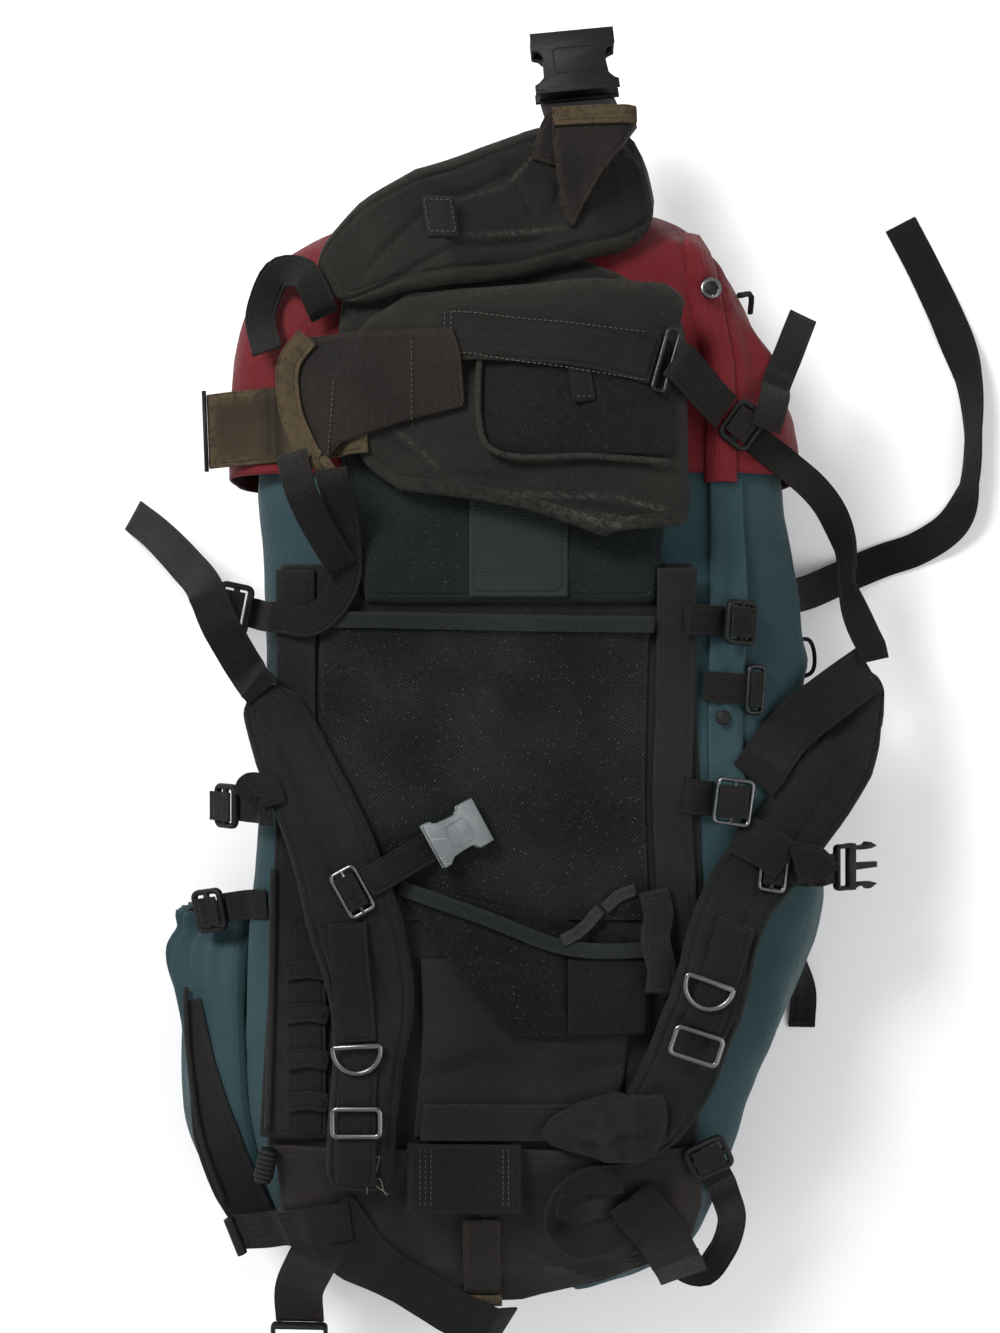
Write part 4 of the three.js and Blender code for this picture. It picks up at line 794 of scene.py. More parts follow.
# The lid: thin black cloth that falls in loose folds over the open end of the bag. A flat band and a piping
# run down its left side to the ladder of webbing where the shoulder straps can be moved up and down.
LID_FOLDS = [
    (-0.6, -0.68, 1, -0.3, -0.95, 0.6, 8, 6), (-0.2, -0.66, 1, -0.02, -0.93, 0.7, 9, 6),
    (0.2, -0.7, 1, 0.4, -0.9, 0.7, 6, 6), (0.5, -0.66, 1, 0.55, -0.85, 0.8, 6, 5),
    (-0.4, -0.68, 1, -0.5, -0.85, 0.8, 6, 5), (0, -0.85, 0.9, 0.3, -0.93, 0.6, 5, 5),
    (-0.8, -0.72, 1, -0.5, -0.9, 0.8, 6, 6), (0.1, -0.66, 1, 0.55, -0.72, 1, 5, 4),
    (-0.7, -0.67, 1, -0.6, -0.8, 1, 5, 5), (0.35, -0.66, 1, 0.2, -0.8, 1, 5, 5),
    (-0.3, -0.97, 1, -0.05, -0.88, 1, 5, 5), (0.3, -0.83, 1, 0.52, -0.78, 1, 5, 5),
    (-0.75, -0.8, 1, -0.35, -0.84, 1, 5, 4), (0.05, -0.74, 1, 0.1, -0.9, 1, 5, 5),
]
lid_cloth = cloth("lid_cloth", rgb(31, 29, 30), rgb(52, 48, 46), 0.0012, 0.0002, roughness=0.8,
    rows=(0.006,))
lid = panel("lid_cover", [[-0.655, -0.82, 0.6], [-0.76, -0.8, 0.6, 0.93], [-0.86, -0.72, 0.56, 0.8],
    [-0.93, -0.62, 0.3, 0.68], [-0.985, -0.44, -0.02, 0.56]], 0.0016, lid_cloth,
    ("lid_fabric",), rounds=25, crumpled=0.0022, lift=LID_FOLDS, rim=0.002)
strap("edge_piping", [[-0.815, -0.165], [-0.82, -0.4], [-0.835, -0.62]], 0.0045, 0.0045, black_cloth,
    "black_cloth", kind="round")
black_webbing = cloth("black_webbing", rgb(22, 22, 23), rgb(39, 37, 35), 0.0016, 0.0004, weave="webbing",
    rows=(0.0022,))
WEB, THIN_WEB = 0.002, 0.0016


def ribbon(name, rows, width, stands_for=(), thick=WEB, **how):
    """Black webbing laid along its route. It gives back its stations."""
    return strap(name, rows, width, thick, black_webbing, "black_webbing", stands_for, **how)


ribbon("ladder_band", [[-0.7, -0.26], [-0.7, -0.45], [-0.7, -0.64]], 0.024, thick=THIN_WEB)
for i, y in enumerate((-0.345, -0.42, -0.5, -0.575)):
    ribbon("ladder_rung_%d" % i, [[-0.775, y], [-0.7, y + 0.006, 0.005], [-0.63, y]], 0.012,
        crumpled=0.0012, thick=THIN_WEB)

# The shoulder straps: shaped foam between two layers of black cloth, bound along both edges. Their upper
# layer is sewn down in a long seam, and the right strap is crumpled where it turns under the yoke.
PAD_WIDTH, PAD_THICK = 0.062, 0.012
PADS = {"left": [[-0.84, 0.15, 0, 0.5], [-0.82, 0.12, 0, 0.62], [-0.755, 0.045, 0, 0.8],
    [-0.62, -0.12, 0, 0.92], [-0.535, -0.265, 0, 1.03], [-0.49, -0.385, 0, 0.94], [-0.5, -0.5, 0, 0.8],
    [-0.52, -0.61, 0, 0.76], [-0.53, -0.715, 0, 0.7]], "right": [[1.2, 0.18, 0.62, 0.4],
    [1.15, 0.12, 0.7, 0.68], [1.075, 0.03, 0.8, 0.8], [0.85, -0.12, 0.9, 0.84], [0.66, -0.265, 0, 0.76],
    [0.587, -0.385, 0, 0.78], [0.5, -0.53, 0, 0.8], [0.4, -0.6, 0, 0.72], [0.24, -0.61, 0, 0.55]]}
PAD_SEAMS = {"left": [(-0.83, 0.11, 1, -0.66, -0.11, 1, 2.5, -2.2),
    (-0.66, -0.11, 1, -0.555, -0.22, 1, 2.5, -2.2), (-0.49, -0.3, 1, -0.43, -0.42, 1, 2.5, -2)],
    "right": [(1.1, 0.03, 1, 0.85, -0.15, 1, 2.5, -2.2), (0.85, -0.15, 1, 0.66, -0.3, 1, 2.5, -2.2),
    (0.62, -0.4, 1, 0.5, -0.56, 1, 3, -2), (0.36, -0.55, 1, 0.42, -0.63, 1, 4, -3),
    (0.3, -0.57, 1, 0.34, -0.65, 1, 4, -3), (0.42, -0.53, 1, 0.52, -0.58, 1, 4, -3),
    (0.26, -0.6, 1, 0.42, -0.6, 1, 3, -3), (0.45, -0.48, 1, 0.57, -0.52, 1, 3, -3),
    (0.36, -0.64, 1, 0.5, -0.61, 1, 5, 3)]}
pad_cloth = cloth("pad_cloth", rgb(23, 25, 26), rgb(40, 41, 40), 0.0012, 0.00022, rows=(0.0065,), dust=0.15)
for side, rows in PADS.items():
    strap("shoulder_pad_%s_cover" % side, rows, PAD_WIDTH, PAD_THICK, pad_cloth, "black_cloth",
        ("shoulder_pad_" + side,), kind="fine pad", filled=0.6, step=0.0025, stiff=60, ends=0.012,
        relief=PAD_SEAMS[side], crumpled=0.0016 if side == "right" else 0.0006)

panel("yoke_fold_cloth", [[-0.545, 0.3, 0.45], [-0.56, 0.19, 0.465], [-0.585, 0.1, 0.47],
    [-0.615, 0.06, 0.46], [-0.64, 0.1, 0.43], [-0.657, 0.22, 0.38]], 0.0016, black_cloth,
    cell=0.0025, rounds=20, crumpled=0.005, rim=0.002, lift=[(0.14, -0.57, 1, 0.2, -0.645, 1, 3.5, 7),
    (0.22, -0.55, 1, 0.3, -0.645, 1, 3.5, 8), (0.34, -0.55, 1, 0.38, -0.635, 1, 3.5, 7),
    (0.08, -0.615, 1, 0.44, -0.59, 1, 3.5, 6), (0.16, -0.6, 1, 0.35, -0.63, 1, 3, 5)])
loose = cloth("loose_thread", rgb(84, 80, 72), rgb(120, 116, 106), 0.0006, 0.00005, dust=0)
LOOSE_THREADS = [
    [[-0.53, -0.64], [-0.5, -0.66], [-0.49, -0.7], [-0.46, -0.69], [-0.44, -0.73]],
    [[-0.5, -0.72], [-0.49, -0.67], [-0.46, -0.65], [-0.48, -0.7]],
    [[-0.47, -0.63], [-0.48, -0.69], [-0.43, -0.72]],
]
for i, rows in enumerate(LOOSE_THREADS):
    strap("loose_thread_%d" % i, rows, 0.0007, 0.0007, loose, "black_cloth", kind="round", step=0.0015)

# The hip belt: two long wings of foam under black cloth, sewn to the pack and folded in over its back.
# Each has sewn channels and scuffed seams. The right one is turned over at its end.
WING_WIDTH, WING_THICK = 0.14, 0.015
wing_cloth = cloth("wing_cloth", rgb(22, 22, 21), rgb(47, 45, 41), 0.0013, 0.00025, roughness=0.78,
    rows=(0.009,), worn=0.8, dust=0.15, fray=0.012)
WING_RIGHT = [
    [0.4, 0.612, 0.5, 0.71], [0.46, 0.612, 0.62, 0.93], [0.495, 0.612, 1.1, 0.95],
    [0.45, 0.612, 1.56, 1.02], [0.36, 0.624, 1.6, 1.19], [0.18, 0.644, 1.35, 1.13], [-0.01, 0.654, 1, 1.03],
    [-0.2, 0.66, 0.7, 0.97], [-0.38, 0.66, 0.56, 0.91], [-0.5, 0.662, 0.56, 0.67],
    [-0.56, 0.662, 0.56, 0.45],
]
WING_LEFT = [
    [-0.62, 0.85, 0, 0.24], [-0.55, 0.877, 0, 0.36], [-0.42, 0.912, 0, 0.47], [-0.26, 0.943, 0, 0.56],
    [-0.07, 0.978, 0, 0.64], [0.123, 1.013, 0, 0.68], [0.283, 1.035, 0, 0.64], [0.37, 1.046, 0, 0.5],
    [0.42, 1.052, 0, 0.3],
]
WING_LEFT_SEAMS = [
    (-0.52, 0.85, 1, -0.3, 0.965, 1, 2.5, -2.2), (-0.3, 0.965, 1, 0, 1.055, 1, 2.5, -2.2),
    (-0.46, 0.83, 1, -0.2, 0.905, 1, 2.5, -2.2), (-0.2, 0.905, 1, 0.12, 0.93, 1, 3, -2.4),
    (-0.06, 1.07, 1, 0.02, 0.99, 1, 2.5, -2.4), (0.02, 0.99, 1, 0.04, 0.965, 1, 2.5, -2.4),
    (0.16, 1.06, 1, 0.1, 0.98, 1, 2.5, -2.4), (-0.3, 0.93, 1, 0.1, 1.0, 1, 14, 1.8),
]
WING_RIGHT_SEAMS = [
    (-0.35, 0.725, 1, 0.2, 0.755, 1, 2.5, -2), (0, 0.5, 1, 0.44, 0.46, 1, 6, 2.5),
    (0.1, 0.475, 1, 0.42, 0.425, 1, 2.5, -2.4), (-0.3, 0.52, 1, 0, 0.5, 1, 3, -2),
    (-0.45, 0.58, 1, -0.3, 0.53, 1, 4, -2.5),
]

WING_LEFT_SCUFFS = [
    (0.03, 1.1, 1, 0.12, 1.04, 1, 1.5, 900), (0.12, 1.04, 1, 0.15, 0.965, 1, 1.5, 900),
    (0.3, 1.13, 1, 0.4, 1.07, 1, 2, 900), (-0.2, 0.925, 1, 0.15, 0.95, 1, 1.5, 700),
    (-0.3, 0.97, 1, -0.05, 1.02, 1, 1.2, 500), (0.05, 1.08, 1, -0.05, 1.02, 1, 1.5, 800),
]
WING_RIGHT_SCUFFS = [
    (-0.1, 0.485, 1, 0.3, 0.472, 1, 1.5, 900), (0.3, 0.472, 1, 0.47, 0.45, 1, 1.5, 1000),
    (0.33, 0.56, 1, 0.46, 0.52, 1, 2, 900), (0.05, 0.465, 1, 0.4, 0.41, 1, 2, 1000),
    (-0.42, 0.6, 1, -0.25, 0.52, 1, 1.5, 700), (0.2, 0.445, 1, 0.45, 0.435, 1, 1.2, 800),
]


def folded(rows, width, thick, base, step=0.004):
    """Stations of a pad that folds over itself, whose sides stay level."""
    rows = table("x y rise width", rows)
    spots = over_pack(rows["x"], rows["y"], base + rows["rise"] * thick)
    point, row, run = along(spots, rows, step)
    tangent = np.gradient(point, axis=0)
    tangent /= np.linalg.norm(tangent, axis=1, keepdims=True)
    side = np.stack([tangent[:, 1], -tangent[:, 0], 0 * run], -1)
    side[0] /= np.linalg.norm(side[0])
    for i in range(1, len(run)):
        if side[i] @ side[i - 1] < 0:
            side[i] *= -1
        steep = np.linalg.norm(side[i]) < 0.3
        side[i] = side[i - 1] if steep else side[i] / np.linalg.norm(side[i])
    up = np.cross(side, tangent)
    full = np.sqrt(1 - (1 - np.clip(np.minimum(run, run[-1] - run) / 0.012, 0, 1)) ** 2) * 0.85 + 0.15
    return {"point": point, "side": side, "up": up / np.linalg.norm(up, axis=1, keepdims=True),
            "width": width * row["width"] * full ** 0.5, "thick": thick * full, "run": run}


panel("belt_root_cloth", [[0.93, -0.5, 0.1], [0.87, -0.58, 0.36], [0.8, -0.6, 0.42], [0.74, -0.6, 0.44]],
    0.002, wing_cloth, crumpled=0.001)
wing_rows = table("x y rise width", WING_RIGHT)
spread = np.linspace(-0.5, 0.5, 41)[None, :] * WING_WIDTH * wing_rows["width"][:, None]
under_x = wing_rows["x"][:, None] * HALF_WIDTH + MIDDLE.x + 0 * spread
below_wing = GAP + pile.top(under_x, wing_rows["y"][:, None] * HALF_LENGTH + MIDDLE.y + spread, 0.003).max()
pad_outline = section("fine pad")
points, faces, lie = sweep(folded(WING_RIGHT, WING_WIDTH, WING_THICK, below_wing, 0.0025), pad_outline)
upper = points[:, 2] > below_wing + 0.9 * WING_THICK
folds = ridges(points, WING_RIGHT_SEAMS) + 0.0008 * crumple(points, 0.03, 5)
points[:, 2] += upper * folds + settle(points, pile.top)
make("hip_wing_right_cover", points, faces, lie, wing_cloth, ("hip_wing_right",), filled=0.7,
    seams=WING_RIGHT_SEAMS, scuffs=WING_RIGHT_SCUFFS)
strap("hip_wing_left_cover", WING_LEFT, WING_WIDTH, WING_THICK, wing_cloth, "black_cloth",
    ("hip_wing_left",), kind="fine pad", filled=0.7, step=0.0025, stiff=80, ends=0.01,
    relief=WING_LEFT_SEAMS, scuffs=WING_LEFT_SCUFFS, crumpled=0.0006)

# The right wing has a small flat pocket of thin cloth, sewn on with a piped edge, and a tab of webbing. The
# left wing has a stiffened patch, sewn on with a line of thread round it.
panel("wing_pocket", [[0.725, -0.13, 0.46], [0.6, -0.13, 0.47], [0.57, -0.11, 0.47], [0.552, -0.07, 0.47],
    [0.543, 0, 0.46]], 0.002, pocket_cloth, rounds=30, crumpled=0.0007, rim=0.0015)
strap("pocket_piping", [[-0.135, 0.72], [-0.135, 0.6], [-0.11, 0.56], [-0.03, 0.542], [0.2, 0.54],
    [0.455, 0.53]], 0.0042, 0.0042, wing_cloth, "black_cloth", kind="round", stiff=10)
strap("pocket_tab", [[0.17, 0.705], [0.185, 0.665], [0.195, 0.632]], 0.014, 0.0015, black_webbing,
    "black_webbing")
panel("wing_patch", [[0.985, -0.32, -0.215], [0.915, -0.3, -0.2]], 0.0018, black_cloth,
    rim=0.002)

# Webbing: woven ribbon of polyester, cut to length and sewn, or run through a fitting. What was at the belt
# has faded brown, and its edges are khaki and frayed.
faded_webbing = cloth("faded_webbing", rgb(27, 25, 26), rgb(46, 41, 37), 0.0016, 0.0004, weave="webbing",
    worn=0.9, rows=(0.0022,), fray=0.006)
khaki_webbing = cloth("khaki_webbing", rgb(44, 38, 32), rgb(76, 66, 49), 0.0016, 0.0004, weave="webbing",
    worn=0.9, rows=(0.0022,), fray=0.012)
WIDE, BELT, PLAIN, NARROW = 0.034, 0.05, 0.025, 0.02
thread = cloth("thread", rgb(60, 58, 54), rgb(96, 92, 84), 0.0006, 0.00005, dust=0)


UP = np.array([0, 0, 1])


def sewn(name, paths, pitch=0.0034, thick=0.0007):
    """Rows of raised stitches on what lies on top. Each path is a list of places as shares."""
    points, faces, lie = [], [], []
    ring = np.array([(0, 1), (-0.9, 0.3), (-0.9, -0.6), (0.9, -0.6), (0.9, 0.3)])
    for path in paths:
        spots = np.array([[x * HALF_WIDTH + MIDDLE.x, y * HALF_LENGTH + MIDDLE.y] for x, y in path])
        length = np.concatenate([[0], np.cumsum(np.linalg.norm(np.diff(spots, axis=0), axis=1))])
        for start in np.arange(0, length[-1] - 0.6 * pitch, pitch):
            at = start + pitch * np.array([0, 0.12, 0.6, 0.72])
            middle = np.stack([np.interp(at, length, spots[:, k]) for k in range(2)], -1)
            onward = (middle[-1] - middle[0]) / np.linalg.norm(middle[-1] - middle[0])
            side = np.array([onward[1], -onward[0], 0])
            height = float(pile.top(middle[:, 0], middle[:, 1], 0.001).max())
            for k, swell in enumerate((0.35, 1, 1, 0.35)):
                centre = np.array([*middle[k], height + 0.00035 * swell])
                for u, v in ring:
                    points.append(centre + side * (0.5 * thick * u * swell)
                        + UP * (0.5 * thick * v * swell))
                    lie.append((u * thick, at[k], 0.01))
            base = len(points) - 4 * len(ring)
            faces += grid_faces(4, len(ring), start=base, closed=True, turned=True)
            faces += [[base + j for j in range(5)], [base + 15 + j for j in range(5)][::-1]]
    make(name, points, faces, lie, thread, piled=False)


sewn("patch_thread", [[(-0.31, 0.977), (-0.226, 0.977), (-0.21, 0.923), (-0.292, 0.923), (-0.31, 0.977)]])
sewn("tab_thread", [[(0.145, 0.7), (0.198, 0.7)], [(0.17, 0.64), (0.222, 0.64)]])


class Moulding:
    """A fitting put together from plates and bars, before it is set in place. Sizes are in millimetres."""

    def __init__(self):
        self.points, self.faces, self.count = [], [], 0

    def add(self, points, faces):
        self.points.append(np.asarray(points, float) * 1e-3)
        self.faces += [[int(i) + self.count for i in face] for face in faces]
        self.count += len(points)
        return self

    def plate(self, outline, low, high, chamfer=0.5):
        """A plate with its corners cut back along its edges. The outline runs anticlockwise."""
        outline = np.array(outline, float)
        before, after = outline - np.roll(outline, 1, 0), np.roll(outline, -1, 0) - outline
        before, after = (e / np.linalg.norm(e, axis=1, keepdims=True) for e in (before, after))
        out = np.stack([before[:, 1], -before[:, 0]], -1) + np.stack([after[:, 1], -after[:, 0]], -1)
        out /= np.maximum((out ** 2).sum(1, keepdims=True), 0.6) / 2
        levels = ((low, chamfer), (low + chamfer, 0), (high - chamfer, 0), (high, chamfer))
        wide = len(outline)
        layers = [np.column_stack([outline - out * inset, np.full(wide, z)]) for z, inset in levels]
        caps = [list(range(wide))[::-1], [3 * wide + j for j in range(wide)]]
        return self.add(np.concatenate(layers), grid_faces(4, wide, closed=True) + caps)

    def bar(self, path, wide, high, closed=False, sides=12, level=0.0, square=0.75):
        """A rounded bar along a path in the plane of the fitting. Round wire has a square of 1."""
        path = np.array([[*p, level] for p in path], float)
        onward = np.roll(path, -1, 0) - np.roll(path, 1, 0) if closed else np.gradient(path, axis=0)
        onward /= np.linalg.norm(onward, axis=1, keepdims=True)
        side = np.cross(onward, UP)
        angle = 2 * np.pi * np.arange(sides) / sides
        flat, tall = (np.sign(f) * np.abs(f) ** square for f in (np.cos(angle), np.sin(angle)))
        flat, tall = (0.5 * wide * flat)[None, :, None], (0.5 * high * tall)[None, :, None]
        ring = side[:, None] * flat + UP * tall
        points = (path[:, None] + ring).reshape(-1, 3)
        count = len(path)
        if closed:
            again = grid_faces(count + 1, sides, closed=True, turned=True)
            faces = [[i % (count * sides) for i in face] for face in again]
        else:
            faces = grid_faces(count, sides, closed=True, turned=True)
            faces += [list(range(sides)), [(count - 1) * sides + j for j in range(sides)][::-1]]
        return self.add(points, faces)


def loop(width, length, corner, y=0.0, count=7):
    """A rectangle with rounded corners, as a closed path round a middle at y."""
    path = []
    for k, (right, ahead) in enumerate(((1, 1), (-1, 1), (-1, -1), (1, -1))):
        for turn in np.linspace(k * np.pi / 2, (k + 1) * np.pi / 2, count):
            x = right * (width / 2 - corner) + corner * np.cos(turn)
            path.append((x, y + ahead * (length / 2 - corner) + corner * np.sin(turn)))
    return path


def frame_of(webbing, slots, gap, thick, bar, square=0.75):
    """A frame for webbing to run through, with a cross bar between each two of its slots."""
    pitch = gap + bar
    width, length = webbing + 2 + bar, slots * pitch
    made = Moulding().bar(loop(width, length, 0.9 * bar), bar, thick, closed=True, square=square)
    for i in range(1, slots):
        y = (i - slots / 2) * pitch
        made.bar([(-width / 2, y), (0, y), (width / 2, y)], bar, 0.8 * thick, level=0.5, square=square)
    return made


def set_in_place(name, made, matrix, material, stands_for, down=True):
    """Turns a fitting into a piece at its place, and lets it down until it rests."""
    points = np.concatenate(made.points)
    world = points @ np.array(matrix.to_3x3()).T + np.array(matrix.translation)
    rest = float(np.max(pile.top(world[:, 0], world[:, 1], 0.001) + GAP - world[:, 2]))
    if down or rest > -0.005:
        world[:, 2] += rest
    lie = np.column_stack([points[:, :2], np.full(len(points), 0.01)])
    return make(name, world, made.faces, lie, material, stands_for)


def fit(name, made, x, y, turn, material, stands_for=()):
    """Sets a fitting down flat on the pile."""
    spot = Vector((x * HALF_WIDTH + MIDDLE.x, y * HALF_LENGTH + MIDDLE.y, 0.3))
    return set_in_place(name, made, Matrix.Translation(spot) @ Matrix.Rotation(math.radians(turn), 4, "Z"),
        material, stands_for)


def fit_on(stations, name, made, material, stands_for=(), start=False, droop=0.0):
    """Sets a fitting at one end of a strap, in line with it, or drooping by this many degrees."""
    end, away = (0, -1) if start else (-1, 1)
    heading, bend = stations["heading"][end] * away, math.radians(droop)
    pitch = math.atan(stations["slope"][end] * away) - bend
    rotation = Matrix.Rotation(math.atan2(-heading[0], heading[1]), 4, "Z") @ Matrix.Rotation(pitch, 4, "X")
    near = min(float(part[:, 1].min()) for part in made.points)
    reach = rotation.to_3x3() @ Vector((0, GAP + WEB * abs(math.sin(bend)) - near, 0))
    matrix = Matrix.Translation(Vector(stations["point"][end]) + reach) @ rotation
    return set_in_place(name, made, matrix, material, stands_for, down=False)


def weave(name, stations, webbing, slots, gap, bar, start=False):
    """The webbing that shows in a frame at the end of a strap, where it runs over the cross bar."""
    end, away = (0, -1) if start else (-1, 1)
    heading, spot = stations["heading"][end] * away, np.array(stations["point"][end]) - np.array(MIDDLE)
    first, last = bar + 0.0005, slots * (gap + bar)
    rows = [((spot + heading * reach) / (HALF_WIDTH, HALF_LENGTH,
        1))[:2].tolist() for reach in np.linspace(first, last, 3)]
    ribbon(name, rows, webbing, step=0.0012, stiff=2)


def hard(name, colour, worn_colour, roughness, metallic=0.0, scratched=0.4, grain=0.00012):
    """Moulded plastic or bare wire, with a fine grain, scratches and duller worn places."""
    made = Finish(name, roughness, metallic, Specular_IOR_Level=0.3)
    scratch = made.noise(70, 6, (1, 9, 1)).ramp(0.56, 0.7)
    fine = made.noise(1300, 2)
    worn = made.noise(45, 4).ramp(0.45, 0.7)
    made.feed("Base Color", made.mix(scratch * scratched + worn * 0.25, colour, worn_colour))
    made.feed("Roughness", scratch * 0.25 + fine * 0.12 + (roughness - 0.06))
    made.bump(fine * 0.6 - scratch * 0.8, grain)
    return made.material


black_plastic = hard("black_plastic", rgb(14, 13, 13), rgb(36, 34, 33), 0.62)
grey_plastic = hard("grey_plastic", rgb(96, 101, 102), rgb(140, 143, 143), 0.42, grain=0.0003)
steel = hard("steel", rgb(112, 112, 114), rgb(70, 69, 67), 0.3, 1.0, scratched=0.3, grain=0.00005)
dark_steel = hard("dark_steel", rgb(58, 58, 59), rgb(34, 33, 32), 0.38, 1.0, scratched=0.4, grain=0.00005)
SOCKET_SIDE = ((1, -1), (1, -0.72), (0.9, -0.66), (0.78, -0.5), (0.74, -0.1), (0.74, 0.2), (0.84, 0.34),
    (0.98, 0.4), (1, 0.46), (1, 0.96))
PRONG = ((0.72, -0.12), (0.96, -0.12), (0.86, 0.1), (0.9, 0.4), (1.02, 0.5), (1.0, 0.68), (0.82, 0.98),
    (0.72, 0.7), (0.7, 0.3))


LOCK = {"webbing": 20, "slots": 2, "gap": 6, "thick": 5, "bar": 4}


def lock(stations, name, frame_name, stands_for=(), start=False):
    """A plastic lock at the end of a narrow strap, and the webbing that shows in it."""
    fit_on(stations, frame_name, frame_of(**LOCK), black_plastic, stands_for, start=start)
    weave(name + "_webbing", stations, 0.0195, LOCK["slots"], LOCK["gap"] * 1e-3, LOCK["bar"] * 1e-3,
        start=start)


def both_sides(made, shape, x, y, low, high, chamfer):
    """A plate at the right and its mirror image at the left, in shares of the half width and length."""
    for side in (1, -1):
        path = [(a * x * side, b * y) for a, b in (shape if side > 0 else tuple(reversed(shape)))]
        made.plate(path, low, high, chamfer)


def socket(webbing, length, thick):
    """The socket of a side-release buckle: two waisted plates with a mouth for the prongs between them."""
    x, y, z = webbing / 2 + 3, length / 2, thick / 2
    right = [(a * x, b * y) for a, b in SOCKET_SIDE]
    made = Moulding()
    for low, high in ((z - 2.4, z), (-z, 2.4 - z)):
        made.plate(right + [(-a, b) for a, b in reversed(right)], low, high, 0.7)
    both_sides(made, ((0.66, -0.7), (0.74, -0.7), (0.74, 0.25), (0.66, 0.25)), x, y, 2 - z, z - 2, 0.2)
    both_sides(made, ((0.88, 0.45), (0.99, 0.45), (0.99, 0.95), (0.88, 0.95)), x, y, 2 - z, z - 2, 0.2)
    made.bar([(-x * 0.9, -y * 0.9), (0, -y * 0.9), (x * 0.9, -y * 0.9)], 3, thick * 0.7)
    return made.bar(loop(x, y * 0.8, 3), 0.9, 0.9, closed=True, level=z)


def plug(webbing, length, thick):
    """The plug of a side-release buckle: a foot with a slot for webbing, a guide and two barbed prongs."""
    x, y = webbing / 2 + 3, length / 2
    made = Moulding().bar(loop(2 * x - 3, y * 0.6, 2, y=-y * 0.62), 3, thick, closed=True)
    made.plate([(-x, -y * 0.36), (x, -y * 0.36), (x, -y * 0.1), (-x, -y * 0.1)], -thick / 2, thick / 2, 0.5)
    made.plate([(-x * 0.16, -y * 0.14), (x * 0.16, -y * 0.14), (x * 0.12, y), (-x * 0.12, y)], -thick * 0.3,
        thick * 0.3, 0.4)
    both_sides(made, PRONG, x, y, -thick * 0.4, thick * 0.4, 0.5)
    return made


def d_ring(webbing, wire=3.6):
    """A ring of bent wire with one straight side."""
    radius = webbing / 2 + 1 + wire / 2
    bow = [(radius * math.cos(t), radius * math.sin(t)) for t in np.linspace(0, np.pi, 19)]
    base = [(-radius, -1), (-radius + 1, -2), (0, -2), (radius - 1, -2), (radius, -1)]
    return Moulding().bar(bow + base, wire, wire, closed=True, square=1)


# The stiff strap on the right wing: webbing sewn down along both edges with pale thread, with a box of
# stitches at one end and a tall loop of dark wire at the other.
wing_strap = ribbon("wing_strap_webbing", [[-0.26, 0.752], [-0.01, 0.746], [0.24, 0.728], [0.42, 0.702]],
    WIDE, ("wing_strap",))
fit_on(wing_strap, "wing_slider_loop", frame_of(34, 1, 5, 2.8, 2.8, 1), dark_steel,
    ("wing_slider",))
sewn("wing_strap_thread", [[(-0.245, 0.79), (-0.245, 0.716)], [(-0.225, 0.79), (-0.225, 0.716)],
    [(-0.22, 0.788), (0.39, 0.745)], [(-0.22, 0.72), (0.38, 0.666)]])

# The belt webbing. At the left it comes out from under a wide faded band that wraps the wing, with a frayed
# knot, and its end is sewn round a thin bar. At the right it folds over the left wing, out to the socket of
# the big belt buckle.
belt_left = strap("belt_strap_left", [[-0.5, 0.62], [-0.62, 0.615], [-0.74, 0.615], [-0.9, 0.613, 0.95],
    [-1.05, 0.61, 0.85]], BELT, WEB, khaki_webbing, "faded_webbing", ("belt_webbing_left",))
fit_on(belt_left, "belt_bar", Moulding().bar([(-27, 0), (0, 0), (27, 0)], 3, 3, square=1), black_plastic)
panel("belt_band", [[0.76, -0.71, -0.22], [0.72, -0.775, -0.195], [0.63, -0.755, -0.18],
    [0.607, -0.745, -0.37], [0.569, -0.705, -0.58], [0.532, -0.67, -0.64]], 0.0022, faded_webbing,
    ("belt_webbing_left",), cell=0.003, rounds=150, crumpled=0.0008, rim=0.0015,
    relief=[(-0.7, 0.74, 1, -0.3, 0.735, 1, 4, -0.8)])
strap("belt_band_edge", [[-0.69, 0.755], [-0.75, 0.71], [-0.745, 0.63], [-0.7, 0.57], [-0.66, 0.53]], 0.015,
    THIN_WEB, khaki_webbing, "faded_webbing", stiff=20, crumpled=0.0006)
KNOTS = [
    [[-0.68, 0.53], [-0.655, 0.545], [-0.63, 0.525]],
    [[-0.645, 0.555], [-0.65, 0.53], [-0.62, 0.51]],
    [[-0.63, 0.54], [-0.6, 0.52], [-0.585, 0.5]],
]
for i, knot in enumerate(KNOTS):
    strap("belt_knot_%d" % i, knot, 0.006, 0.005, khaki_webbing, "faded_webbing", kind="pad",
        crumpled=0.0008, step=0.0015, ends=0.003)
belt_right = strap("belt_strap_right", [[0.15, 1.05], [0.17, 1.09], [0.2, 1.14, 0.95], [0.19, 1.2, 0.86]],
    BELT, WEB, faded_webbing, "faded_webbing", ("belt_webbing_right",))
fit_on(belt_right, "belt_socket_shell", socket(50, 46, 14), black_plastic,
    ("belt_socket",), droop=-42)
panel("belt_fold", [[1.14, 0.1, 0.385, 0.85], [1.09, 0.1, 0.33, 0.92], [1.03, 0.115, 0.25, 0.92],
    [0.975, 0.14, 0.19, 0.9], [0.95, 0.155, 0.17, 0.9]], 0.002, faded_webbing, cell=0.003,
    rounds=30, crumpled=0.001, rim=0.0012, lift=[(0.12, 1.1, 1, 0.16, 0.97, 1, 8, 4),
    (0.36, 1.13, 1, 0.18, 0.96, 1, 5, 4)])
